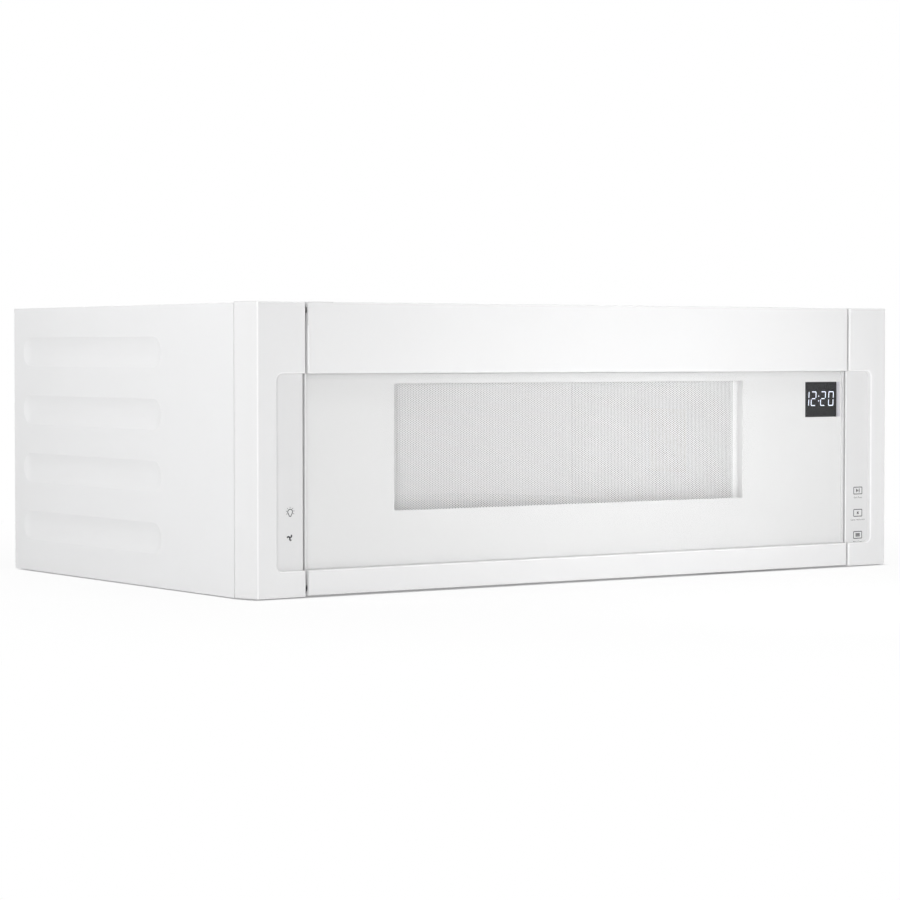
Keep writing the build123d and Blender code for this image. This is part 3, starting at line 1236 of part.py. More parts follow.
def hinge_bracket(upper):
    """Angle behind the front plate with an ear and a pin that carry the door."""
    ear = hinge_z(upper)
    x = ear_x()
    tongue = block(x, (AXIS_DEPTH + 8, PLATE_BACK + EAR), ear)
    nose = (AXIS_X - PIN_RADIUS - 0.5, AXIS_X + PIN_RADIUS + 0.5)
    tongue += block(nose, (AXIS_DEPTH, AXIS_DEPTH + 9), ear)
    tongue += rod_z(AXIS_X, AXIS_DEPTH, ear, PIN_RADIUS + 0.5)
    tongue += rod_z(AXIS_X, AXIS_DEPTH, pin_z(upper), PIN_RADIUS)
    leg_z = (ear[1] - BRACKET_LEG, ear[1]) if upper else (ear[0], ear[0] + BRACKET_LEG)
    return tongue + block((x[0] - 14, x[1]), (PLATE_BACK, PLATE_BACK + EAR), leg_z)


def case_screws():
    """Heads of the screws along the back panel's upper and lower edges."""
    screws = []
    face = BACK_PANEL + PLATE
    for x in (-INNER_SIDE + 12, -INNER_SIDE / 3, INNER_SIDE / 3, INNER_SIDE - 12):
        for z in (6, CEILING - 8):
            screws.append(rod_y(x, (face, face + 2), z, 4))
    return group(screws)


def main():
    os.makedirs("parts", exist_ok=True)
    save("outer_cabinet", outer_cabinet())
    save("base_plate", base_plate())
    save("rear_panel", rear_panel())
    save("wall_bracket", wall_bracket())
    save("front_plate", front_plate())
    save("cord_bushing", cord_bushing())
    save("case_screws", case_screws())
    trim = right_trim()
    save("right_trim", trim)
    save("left_trim", mirrored(trim))
    save("touch_boards", group([touch_board(), mirrored(touch_board())]))
    save("oven_cavity", oven_cavity())
    save("cavity_lamp", cavity_lamp())
    save("waveguide", waveguide())
    save("waveguide_cover", waveguide_cover())
    save("magnetron_yoke", magnetron_yoke())
    save("magnetron_core", magnetron_core())
    save("transformer_core", transformer_core())
    save("transformer_windings", transformer_windings())
    save("capacitor", capacitor())
    save("line_filter", line_filter())
    save("fan_housing", fan_housing())
    save("fan_motor", fan_motor())
    save("fan_blade", fan_blade())
    save("control_carrier", control_carrier())
    save("control_board", control_board())
    save("interlock_holder", interlock_holder())
    save("interlock_switches", interlock_switches())
    save("catch_magnet", catch_magnet())
    save("thermal_cutouts", thermal_cutouts())
    housing = blower_housing()
    save("blower_housings", group([housing, mirrored(housing)]))
    wheel = blower_wheel()
    save("blower_wheels", group([wheel, mirrored(wheel)]))
    save("blower_shaft", blower_shaft())
    save("blower_motor", blower_motor())
    save("exhaust_frame", exhaust_frame())
    save("damper_flap", damper_flap())
    save("grease_filter_left", grease_filter(-1))
    save("grease_filter_right", grease_filter(1))
    save("filter_rails", group(filter_rails(-1) + filter_rails(1)))
    save("charcoal_filters", group([charcoal_filter(-1), charcoal_filter(1)]))
    save("lamp_lenses", group([lamp_lens(-1), lamp_lens(1)]))
    save("lamp_boards", group([lamp_board(-1), lamp_board(1)]))
    save("turntable_motor", turntable_motor())
    save("turntable_coupler", turntable_coupler())
    save("turntable_tray", turntable_tray())
    save("roller_ring", roller_ring())
    for index in range(3):
        save(f"roller_{index + 1}", roller(index))
    save("door_frame", door_frame())
    save("door_glass", door_glass())
    save("glass_print", glass_print())
    save("door_screen", door_screen())
    save("choke_frame", choke_frame())
    save("inner_pane", inner_pane())
    save("choke_cover", choke_cover())
    save("strike_plate", strike_plate())
    save("interlock_fingers", interlock_fingers())
    save("display_module", display_module())
    save("hinge_bushes", hinge_bushes())
    save("hinge_brackets", group([hinge_bracket(False), hinge_bracket(True)]))


main()
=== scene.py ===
"""Looks of a low-profile over-the-range microwave hood, laid out as a Blender add-on.

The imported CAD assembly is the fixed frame.  Sizes are in metres in that frame:
+X to the viewer's right, +Y towards the wall, +Z up, the fascia at y = -0.229.
"""

import json
from math import cos, pi, radians, sin

import bmesh
import bpy
from mathutils import Matrix, Vector


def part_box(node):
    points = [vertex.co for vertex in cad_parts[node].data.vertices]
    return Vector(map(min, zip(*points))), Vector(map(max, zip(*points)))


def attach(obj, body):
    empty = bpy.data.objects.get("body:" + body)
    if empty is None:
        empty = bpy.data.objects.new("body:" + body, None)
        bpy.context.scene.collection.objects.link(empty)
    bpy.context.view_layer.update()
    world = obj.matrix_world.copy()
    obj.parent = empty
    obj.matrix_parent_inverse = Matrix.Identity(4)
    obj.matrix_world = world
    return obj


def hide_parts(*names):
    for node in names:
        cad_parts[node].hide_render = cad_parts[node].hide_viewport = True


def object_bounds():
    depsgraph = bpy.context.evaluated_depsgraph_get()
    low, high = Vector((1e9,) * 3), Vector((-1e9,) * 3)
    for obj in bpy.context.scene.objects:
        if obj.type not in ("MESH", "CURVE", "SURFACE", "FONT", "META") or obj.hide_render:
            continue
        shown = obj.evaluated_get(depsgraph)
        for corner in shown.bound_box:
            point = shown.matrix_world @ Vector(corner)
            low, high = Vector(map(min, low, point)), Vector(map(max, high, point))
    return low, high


bl_info = {
    "name": "Microwave Hood Looks",
    "version": (1, 0, 0),
    "blender": (4, 5, 0),
    "location": "3D View > Sidebar > Microwave",
    "description": "Finishes, screen, clock, key marks, filters and studio of a microwave hood",
    "category": "Object",
}

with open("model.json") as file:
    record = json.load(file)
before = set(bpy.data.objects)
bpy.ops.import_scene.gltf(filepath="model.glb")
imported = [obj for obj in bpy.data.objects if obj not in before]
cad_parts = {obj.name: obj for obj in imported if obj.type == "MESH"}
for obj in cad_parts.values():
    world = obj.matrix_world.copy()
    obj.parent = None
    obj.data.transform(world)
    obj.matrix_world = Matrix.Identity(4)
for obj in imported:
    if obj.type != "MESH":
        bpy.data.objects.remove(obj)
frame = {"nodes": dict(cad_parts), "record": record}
NODES = frame["nodes"]
CAD_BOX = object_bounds()
MM = 0.001
FASCIA = CAD_BOX[0].y
SUNK_FACE = FASCIA + 5 * MM


# ------------------------------------------------------------------ node wiring
def both_ways(operation):
    """Methods for a sum of a wire and a value, and of a value and a wire."""
    settings = {"operation": operation}
    return (
        lambda wire, value: wire.wiring.node("ShaderNodeMath", settings, {0: wire, 1: value}),
        lambda wire, value: wire.wiring.node("ShaderNodeMath", settings, {0: value, 1: wire}),
    )


class Wire:
    """An output socket that can be used in sums."""

    def __init__(self, wiring, socket):
        self.wiring = wiring
        self.socket = socket

    def other(self, name):
        """Another output of the same node."""
        return Wire(self.wiring, self.socket.node.outputs[name])

    __add__, __radd__ = both_ways("ADD")
    __sub__, __rsub__ = both_ways("SUBTRACT")
    __mul__, __rmul__ = both_ways("MULTIPLY")
    __truediv__, __rtruediv__ = both_ways("DIVIDE")
    __mod__, __rmod__ = both_ways("MODULO")
    __gt__ = both_ways("GREATER_THAN")[0]
    __lt__ = both_ways("LESS_THAN")[0]

    def __abs__(self):
        return self.wiring.node("ShaderNodeMath", {"operation": "ABSOLUTE"}, {0: self})

    def ramp(self, low, high, start=0.0, end=1.0):
        """Eases from start to end while this value goes from low to high."""
        limits = {"From Min": low, "From Max": high, "To Min": start, "To Max": end}
        settings = {"interpolation_type": "SMOOTHSTEP"}
        return self.wiring.node("ShaderNodeMapRange", settings, {"Value": self, **limits})


class Wiring:
    """Adds nodes to one tree and joins their sockets."""

    def __init__(self, tree):
        self.tree = tree

    def node(self, kind, settings=None, sockets=None, output=0):
        made = self.tree.nodes.new(kind)
        for name, value in (settings or {}).items():
            setattr(made, name, value)
        for name, value in (sockets or {}).items():
            socket = made.inputs[name]
            if isinstance(value, Wire):
                self.tree.links.new(value.socket, socket)
            else:
                socket.default_value = (*value, 1.0) if socket.type == "RGBA" else value
        return Wire(self, made.outputs[output]) if made.outputs else None

    def rays(self):
        """Two wires: rays that see the backdrop as it is, and rays that bounce off a surface."""
        straight = self.node("ShaderNodeLightPath")
        mirrored = straight.other("Is Glossy Ray")
        seen = straight + mirrored + straight.other("Is Transmission Ray")
        return seen, straight.other("Is Diffuse Ray") + mirrored


class Finish(Wiring):
    """A material under construction."""

    def __init__(self, name):
        self.material = bpy.data.materials.new(name)
        self.material.use_nodes = True
        super().__init__(self.material.node_tree)
        self.tree.nodes.clear()
        self.place = self.node("ShaderNodeTexCoord", output="Object")
        axes = self.node("ShaderNodeSeparateXYZ", sockets={0: self.place})
        self.x, self.y, self.z = axes, axes.other("Y"), axes.other("Z")

    def noise(self, scale, detail=2.0, stretch=None):
        at = self.place
        if stretch:
            at = self.node("ShaderNodeMapping", sockets={"Vector": at, "Scale": stretch})
        sockets = {"Vector": at, "Scale": scale, "Detail": detail}
        return self.node("ShaderNodeTexNoise", {"noise_dimensions": "3D"}, sockets, "Fac")

    def cells(self, scale):
        """Distance to the middle of the nearest cell."""
        return self.node("ShaderNodeTexVoronoi", sockets={"Vector": self.place, "Scale": scale})

    def cell_tones(self, scale):
        """A random grey for each cell."""
        return self.node("ShaderNodeRGBToBW", sockets={0: self.cells(scale).other("Color")})

    def bands(self, axis, pitch):
        """Even waves along one axis, one crest for each pitch."""
        settings = {"wave_type": "BANDS", "bands_direction": axis, "wave_profile": "SIN"}
        sockets = {"Vector": self.place, "Scale": pi / (10 * pitch)}
        return self.node("ShaderNodeTexWave", settings, sockets, "Fac")

    def blend(self, factor, first, second):
        """Colour between two others."""
        settings = {"data_type": "RGBA", "blend_type": "MIX"}
        return self.node("ShaderNodeMix", settings, {"Factor": factor, 6: first, 7: second}, 2)

    def bump(self, height, depth, **sockets):
        return self.node("ShaderNodeBump", sockets={"Distance": depth, "Height": height, **sockets})

    def eased(self, radius):
        """Normal that rounds the moulded edges a little further than the solid does."""
        return self.node("ShaderNodeBevel", {"samples": 6}, {"Radius": radius})

    def rounded_edge(self):
        """One on the rounded front edges, where a painted highlight makes the moulding paler,
        nought on the flats.
        """
        facing = self.node("ShaderNodeNewGeometry", output="True Normal")
        across = self.node("ShaderNodeSeparateXYZ", sockets={0: facing})
        towards, up = across.other("Y"), across.other("Z")
        return (abs(across * towards) + abs(towards * up)).ramp(0.28, 0.42)

    def surface(self, **sockets):
        named = {name.replace("_", " "): value for name, value in sockets.items()}
        return self.node("ShaderNodeBsdfPrincipled", sockets=named)

    def shine(self, strength):
        """Share of a glass pane that mirrors: its outer skin at a slant, nothing from within."""
        slant = self.node("ShaderNodeFresnel", sockets={"IOR": 1.5})
        within = self.node("ShaderNodeNewGeometry", output="Backfacing")
        return strength * slant * (1 - within)

    def over(self, factor, first, second):
        return self.node("ShaderNodeMixShader", sockets={0: factor, 1: first, 2: second})

    def done(self, shader):
        self.node("ShaderNodeOutputMaterial", sockets={"Surface": shader})
        return self.material

    def coat(self, tone, rough, height=None, depth=0.0, **sockets):
        """Closes the material as one surface, with bumps where a height is given."""
        if height is not None:
            sockets["Normal"] = self.bump(height, depth)
        return self.done(self.surface(Base_Color=tone, Roughness=rough, **sockets))

    def ink(self, dark, pale):
        """Closes the material as screen-printed ink."""
        screen = self.noise(3000.0, 1.0)
        return self.coat(self.blend(screen, dark, pale), 0.5 + 0.15 * screen)

    def plain(self, fine, slow, dark, pale, rough, spread, depth):
        """Closes the material as slow clouds between two tones with a fine grain."""
        grain = self.noise(fine)
        tone = self.blend(self.noise(slow), dark, pale)
        return self.coat(tone, rough + spread * grain, grain, depth)

    def pane(self, share, gloss, tint):
        """Closes the material as glass that shows gloss by a share and is clear for the rest."""
        bare = self.node("ShaderNodeBsdfTransparent", sockets={0: tint})
        return self.done(self.over(share, bare, gloss))


class Pattern(Wiring):
    """A geometry tree under construction, which ends in real geometry with one material."""

    def __init__(self, name):
        super().__init__(bpy.data.node_groups.new(name, "GeometryNodeTree"))
        for way in ("INPUT", "OUTPUT"):
            self.tree.interface.new_socket(
                "Geometry", in_out=way, socket_type="NodeSocketGeometry"
            )
        self.entry = self.tree.nodes.new("NodeGroupInput")
        self.keys = {}

    def inputs(self, kind, *names):
        for name in names:
            item = self.tree.interface.new_socket(name, in_out="INPUT", socket_type=kind)
            self.keys[name] = item.identifier
        return [Wire(self, self.entry.outputs[name]) for name in names]

    def drawn(self):
        """The points and edges of the object that carries the tree."""
        return Wire(self, self.entry.outputs["Geometry"])

    def end(self, geometry):
        material, = self.inputs("NodeSocketMaterial", "Finish")
        real = self.node("GeometryNodeRealizeInstances", sockets={0: geometry})
        sockets = {"Geometry": real, "Material": material}
        dressed = self.node("GeometryNodeSetMaterial", sockets=sockets)
        self.node("NodeGroupOutput", sockets={0: dressed})
        return self

    def grow(self, name, values, points=(), edges=(), place=None):
        """Runs the tree once and leaves a plain mesh, moved to its place."""
        drawn = bpy.data.meshes.new(name + "_drawn")
        drawn.from_pydata(list(points), list(edges), [])
        piece = link(name, drawn)
        modifier = piece.modifiers.new("Pattern", "NODES")
        modifier.node_group = self.tree
        for label, value in values.items():
            modifier[self.keys[label]] = value
        graph = bpy.context.evaluated_depsgraph_get()
        made = bpy.data.meshes.new_from_object(piece.evaluated_get(graph), depsgraph=graph)
        if not made.polygons:
            raise RuntimeError(f"{name} came out empty")
        piece.modifiers.remove(modifier)
        piece.data = made
        bpy.data.meshes.remove(drawn)
        made.name = name
        made.materials.clear()
        made.materials.append(values["Finish"])
        if place is not None:
            made.transform(place)
        return piece


# --------------------------------------------------------------------- settings
def colour(name, description, default):
    limits = {"min": 0.0, "max": 1.0, "default": default}
    return bpy.props.FloatVectorProperty(
        name=name, description=description, subtype="COLOR", size=3, **limits
    )


def length(name, description, default):
    unit = {"subtype": "DISTANCE", "unit": "LENGTH", "precision": 5}
    return bpy.props.FloatProperty(
        name=name, description=description, min=0.0, default=default, **unit
    )


def level(name, description, default, highest=1.0):
    return bpy.props.FloatProperty(
        name=name, description=description, min=0.0, max=highest, default=default
    )


def power(name, where, default):
    return level(name, f"Power of the soft lamp {where}", default, 500.0)


class HoodFinishes(bpy.types.PropertyGroup):
    paint: colour("Paint", "Powder coat on the wrap, the base and the front", (0.86, 0.862, 0.866))
    moulding: colour("Moulding", "White plastic of the door and the trims", (0.845, 0.845, 0.848))
    ink: colour("Glass print", "White ink on the back of the door glass", (0.81, 0.808, 0.808))
    screen: colour("Screen", "White paint on the perforated sheet", (0.95, 0.951, 0.952))
    enamel: colour("Enamel", "Coating of the oven cavity", (0.56, 0.56, 0.55))
    marks: colour("Key marks", "Ink of the pictograms on the trims", (0.05, 0.05, 0.055))
    clock: colour("Clock", "Light of the clock digits", (0.84, 0.87, 1.0))
    clock_level: level("Clock level", "Strength of the clock's light", 1.2, 10.0)


class HoodScreen(bpy.types.PropertyGroup):
    row_pitch: length("Row pitch", "Distance between holes in one column", 2.0 * MM)
    opening: level("Opening", "Width of a hole as a share of its cell", 0.56)
    sheet: length("Sheet", "Thickness of the perforated steel", 0.4 * MM)
    strips: bpy.props.IntProperty(
        name="Strips", description="Pieces the sheet is made in", min=1, default=4
    )


class HoodFilters(bpy.types.PropertyGroup):
    rim: length("Rim", "Width of the filter frame seen from below", 8 * MM)
    cell_width: length("Cell width", "Long diagonal of one cell of the expanded mesh", 8.8 * MM)
    cell_height: length("Cell height", "Short diagonal of one cell", 4.6 * MM)
    strand: level("Opening", "Size of the hole as a share of its cell", 0.72)


class HoodStage(bpy.types.PropertyGroup):
    floor: colour("Floor", "Colour of the studio floor", (0.93, 0.93, 0.93))
    ambient: level("Ambient", "Light from all round", 0.27, 5.0)
    key: power("Key lamp", "before the left corner", 4.8)
    front: power("Front lamp", "before the door", 1.65)
    side: power("Side lamp", "at the left", 5.2)
    top: power("Top lamp", "overhead", 6.8)
    right: power("Right lamp", "at the right", 5.5)
    back: power("Back lamp", "behind the back", 10.0)


GROUPS = {
    "hood_finishes": HoodFinishes,
    "hood_screen": HoodScreen,
    "hood_filters": HoodFilters,
    "hood_stage": HoodStage,
}


# -------------------------------------------------------------------- finishes
def shade(values, share):
    """The same colour, darker or lighter by a share."""
    return [share * part for part in values]


STRIP_ENDS = (0.321, 0.3525)    # touch strips on the trims, both ways from the middle
# The window and the band below also bound the painted glow on the choke plate.
WINDOW_MIDDLE = -17.5 * MM      # clear window in the print on the glass
WINDOW_HALF = 205.7 * MM
WINDOW_BAND = (0.068, 0.192)    # heights between which the window shows the sheet behind
CHOKE_FACE = -0.2108            # just behind the front of that sheet
CLOCK_BOARD = FASCIA + 22.3 * MM
BLACK = (0.0, 0.0, 0.0)
WHITE = (1.0, 1.0, 1.0)


def powder_coat(f, look):
    peel = f.noise(900.0, 1.0)
    drift = f.noise(7.0)
    tone = f.blend(drift, look.paint, shade(look.paint, 0.985))
    return f.coat(tone, 0.36 + 0.1 * drift, peel, 0.00002)


def satin_moulding(f, look):
    grain = f.noise(1800.0, 1.0)
    drift = f.noise(6.0)
    tone = f.blend(drift, look.moulding, shade(look.moulding, 0.985))
    relief = f.bump(grain, 0.000008, Normal=f.eased(1.6 * MM))
    inner, outer = STRIP_ENDS
    # Painted shade: the sunk touch strips on the trims are made darker, as shade in their recess.
    recess_shade = (f.y > SUNK_FACE - 0.3 * MM) * (abs(f.x) < outer) * (abs(f.x) > inner)
    tone = f.blend(recess_shade, tone, shade(look.moulding, 0.92))
    # Painted highlight: the rounded front edges are made paler, as light catching them.
    tone = f.blend(f.rounded_edge(), tone, (0.97, 0.97, 0.972))
    return f.coat(tone, 0.30 + 0.08 * drift, Normal=relief)


def zinc_coat(f, look):
    spangle = f.cell_tones(70.0)
    share = 0.6 * spangle + 0.4 * f.noise(28.0, 4.0)
    tone = f.blend(share, (0.46, 0.475, 0.49), (0.62, 0.635, 0.65))
    scratches = f.noise(160.0, stretch=(0.1, 1, 1))
    return f.coat(tone, 0.34 + 0.2 * spangle, scratches, 0.00003, Metallic=0.85)


def oven_enamel(f, look):
    specks = f.cells(650.0) < 0.16
    chosen = f.noise(420.0, 1.0) > 0.56
    ripple = f.noise(60.0)
    tone = f.blend(specks * chosen * 0.5, look.enamel, (0.30, 0.30, 0.31))
    return f.coat(tone, 0.16 + 0.1 * ripple, ripple, 0.00008)


def pane_glass(f, look):
    rough = 0.01 + 0.03 * f.noise(14.0, 3.0)
    gloss = f.surface(Base_Color=(0.94, 0.95, 0.95), Roughness=rough, IOR=1.5)
    return f.pane(f.shine(0.6), gloss, (0.997, 0.998, 0.998))


def tray_glass(f, look):
    rough = 0.03 + 0.05 * f.noise(35.0)
    gloss = f.surface(Base_Color=(0.80, 0.87, 0.86), Roughness=rough, IOR=1.5)
    return f.pane(0.06 + f.shine(1.3), gloss, (0.93, 0.96, 0.955))


def prism_lens(f, look):
    prisms = f.bands("X", 2.4 * MM) + f.bands("Y", 2.4 * MM)
    rough = 0.28 + 0.1 * f.noise(90.0)
    relief = f.bump(prisms, 0.0004)
    body = f.surface(Base_Color=(0.90, 0.91, 0.91), Roughness=rough, Normal=relief)
    return f.pane(0.55 + 0.1 * prisms, body, (0.96, 0.97, 0.97))


def back_print(f, look):
    """White ink, greyer towards the edge that lies under the upper band, where painted shadow
    stands for the band's lip keeping light off.
    """
    drift = f.noise(9.0)
    white = f.blend(drift, look.ink, shade(look.ink, 0.985))
    # Painted shadow of the upper band's lip, darkest at the top edge of the print.
    lip_shadow = f.z.ramp(0.189, 0.196, 0.0, 0.11) + f.z.ramp(0.160, 0.196, 0.0, 0.07)
    return f.coat(f.blend(lip_shadow, white, BLACK), 0.4 + 0.1 * drift)


def screen_coat(f, look):
    """Grain, colour and roughness of the painted sheets."""
    grain = f.noise(2600.0, 1.0)
    return grain, f.blend(grain, shade(look.screen, 0.97), look.screen), 0.5 + 0.1 * grain


def screen_paint(f, look):
    grain, tone, rough = screen_coat(f, look)
    return f.coat(tone, rough, grain, 0.00002)


def choke_paint(f, look):
    """Paint of the sheet round the screen, with a painted glow beside the window that stands in for
    light passing through the white ink.
    """
    _, tone, rough = screen_coat(f, look)
    # Painted light: the sheet glows beside the window, in place of light through the white ink.
    glow_beside_window = (abs(f.x - WINDOW_MIDDLE) - WINDOW_HALF).ramp(0.0, 6 * MM)
    low, high = WINDOW_BAND
    facing = (f.y < CHOKE_FACE) * (f.z > low) * (f.z < high)
    lit = f.blend(glow_beside_window * facing, BLACK, WHITE)
    return f.coat(tone, rough, Emission_Color=lit, Emission_Strength=0.24)


def clock_window(f, look):
    """Smoked face in front, green board behind it."""
    board = f.y > CLOCK_BOARD
    tracks = (f.bands("X", 1.6 * MM) > 0.82) * f.noise(120.0)
    green = f.blend(tracks, (0.015, 0.12, 0.05), (0.05, 0.26, 0.12))
    cloud = f.noise(240.0)
    smoke = f.blend(cloud, (0.014, 0.014, 0.016), (0.022, 0.021, 0.024))
    rough = 0.30 + 0.2 * board + 0.06 * cloud
    return f.coat(f.blend(board, smoke, green), rough, Specular_IOR_Level=0.15)


def clock_light(f, look):
    flicker = f.noise(900.0, 1.0)
    lit = f.blend(flicker, look.clock, shade(look.clock, 0.94))
    glow = {"Emission_Color": lit, "Emission_Strength": look.clock_level}
    return f.coat((0.3, 0.34, 0.38), 0.4 + 0.1 * flicker, **glow)


def clock_collar(f, look):
    """White lining of the clock's well, with a faint painted glow that stands in for the clock's
    light falling on it.
    """
    speckle = f.noise(700.0, 1.0)
    tone = f.blend(speckle, (0.78, 0.77, 0.80), (0.84, 0.83, 0.86))
    # Painted light: a faint glow standing in for the clock's light on the lining.
    glow = {"Emission_Color": (0.86, 0.84, 1.0), "Emission_Strength": 0.12}
    return f.coat(tone, 0.45 + 0.1 * speckle, **glow)


def key_ink(f, look):
    return f.ink(look.marks, shade(look.marks, 1.35))


def caption_ink(f, look):
    return f.ink((0.10, 0.10, 0.105), (0.15, 0.15, 0.155))


def black_moulding(f, look):
    return f.plain(1500.0, 20.0, (0.028, 0.028, 0.03), (0.045, 0.045, 0.047), 0.42, 0.2, 0.00004)


def grey_moulding(f, look):
    return f.plain(1500.0, 18.0, (0.33, 0.335, 0.34), (0.40, 0.40, 0.41), 0.45, 0.15, 0.00004)


def plain_nylon(f, look):
    return f.plain(900.0, 24.0, (0.66, 0.64, 0.57), (0.74, 0.72, 0.66), 0.4, 0.1, 0.00003)


def black_rubber(f, look):
    return f.plain(700.0, 30.0, (0.02, 0.02, 0.02), (0.04, 0.04, 0.042), 0.66, 0.15, 0.00008)


def circuit_board(f, look):
    """Green board with tracks and pale pads."""
    tracks = (f.bands("X", 2.2 * MM) > 0.8) * (f.noise(90.0) > 0.45)
    pads = f.cells(260.0) < 0.2
    green = f.blend(tracks, (0.012, 0.11, 0.04), (0.03, 0.22, 0.09))
    tone = f.blend(pads * 0.7, green, (0.62, 0.60, 0.55))
    return f.coat(tone, 0.3 + 0.2 * pads, tracks, 0.00004)


def bright_steel(f, look):
    turned = f.noise(240.0, 3.0, stretch=(1, 1, 8))
    tone = f.blend(turned, (0.50, 0.50, 0.51), (0.66, 0.66, 0.67))
    return f.coat(tone, 0.24 + 0.18 * turned, turned, 0.00003, Metallic=0.95)


def laminations(f, look):
    sheets = f.bands("Y", 1.0 * MM)
    rust = f.noise(45.0, 4.0)
    tone = f.blend(rust, (0.12, 0.12, 0.125), (0.24, 0.22, 0.20))
    return f.coat(tone, 0.42 + 0.2 * rust, sheets, 0.0003, Metallic=0.75)


def copper_wire(f, look):
    turns = f.bands("Z", 0.9 * MM)
    varnish = f.noise(60.0, 3.0)
    tone = f.blend(turns, (0.22, 0.07, 0.03), (0.62, 0.26, 0.12))
    return f.coat(tone, 0.26 + 0.2 * varnish, turns, 0.0004, Metallic=0.9)


def drawn_aluminium(f, look):
    drawn = f.noise(300.0, 3.0, stretch=(0.06, 1, 1))
    tone = f.blend(drawn, (0.68, 0.69, 0.70), (0.80, 0.81, 0.82))
    return f.coat(tone, 0.26 + 0.18 * drawn, drawn, 0.00003, Metallic=0.95)


def mica_sheet(f, look):
    flakes = f.cell_tones(180.0)
    tone = f.blend(flakes, (0.42, 0.37, 0.28), (0.58, 0.53, 0.43))
    return f.coat(tone, 0.3 + 0.3 * flakes, flakes, 0.00008)


def charcoal_grains(f, look):
    grains = f.cells(420.0)
    tone = f.blend(grains, (0.012, 0.012, 0.013), (0.06, 0.06, 0.062))
    return f.coat(tone, 0.7 + 0.2 * grains, grains, 0.0012)


FINISHES = {
    "white_paint": powder_coat,
    "white_moulding": satin_moulding,
    "galvanised": zinc_coat,
    "enamel": oven_enamel,
    "clear_glass": pane_glass,
    "tray_glass": tray_glass,
    "frosted_lens": prism_lens,
    "glass_print": back_print,
    "screen_steel": screen_paint,
    "choke_paint": choke_paint,
    "clock_window": clock_window,
    "clock_light": clock_light,
    "clock_collar": clock_collar,
    "key_ink": key_ink,
    "caption_ink": caption_ink,
    "dark_plastic": black_moulding,
    "grey_plastic": grey_moulding,
    "natural_nylon": plain_nylon,
    "board": circuit_board,
    "steel": bright_steel,
    "core_steel": laminations,
    "copper": copper_wire,
    "aluminium": drawn_aluminium,
    "mica": mica_sheet,
    "charcoal": charcoal_grains,
    "rubber": black_rubber,
}
SLOT_OF = {part["node"]: part["material_slot"] for part in frame["record"]["subparts"]}
made_finishes = {}


def finish(name):
    """The material of that name, made the first time it is asked for."""
    if name not in made_finishes:
        maker = FINISHES[name]
        look = bpy.context.scene.hood_finishes
        made_finishes[name] = maker(Finish(maker.__name__), look)
    return made_finishes[name]


def dress(name, finish_name=None):
    """Gives a CAD node its finish, by the record's slot unless another is named."""
    mesh = NODES[name].data
    mesh.materials.clear()
    mesh.materials.append(finish(finish_name or SLOT_OF[name]))


def fit(piece, body, slot, *nodes):
    """Ties a finished piece to its body and hides the nodes it stands for; its slot is not used."""
    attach(piece, body)
    if nodes:
        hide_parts(*nodes)


def link(name, data):
    """Puts an object with this data in the scene."""
    made = bpy.data.objects.new(name, data)
    bpy.context.scene.collection.objects.link(made)
    return made


def link_mesh(name, mesh, finish_name, smooth=True):
    mesh.materials.append(finish(finish_name))
    mesh.polygons.foreach_set("use_smooth", [smooth] * len(mesh.polygons))
    return link(name, mesh)


def link_shape(name, shape, finish_name, smooth=True):
    """Turns a bmesh into a piece and frees it."""
    mesh = bpy.data.meshes.new(name)
    shape.to_mesh(mesh)
    shape.free()
    return link_mesh(name, mesh, finish_name, smooth)


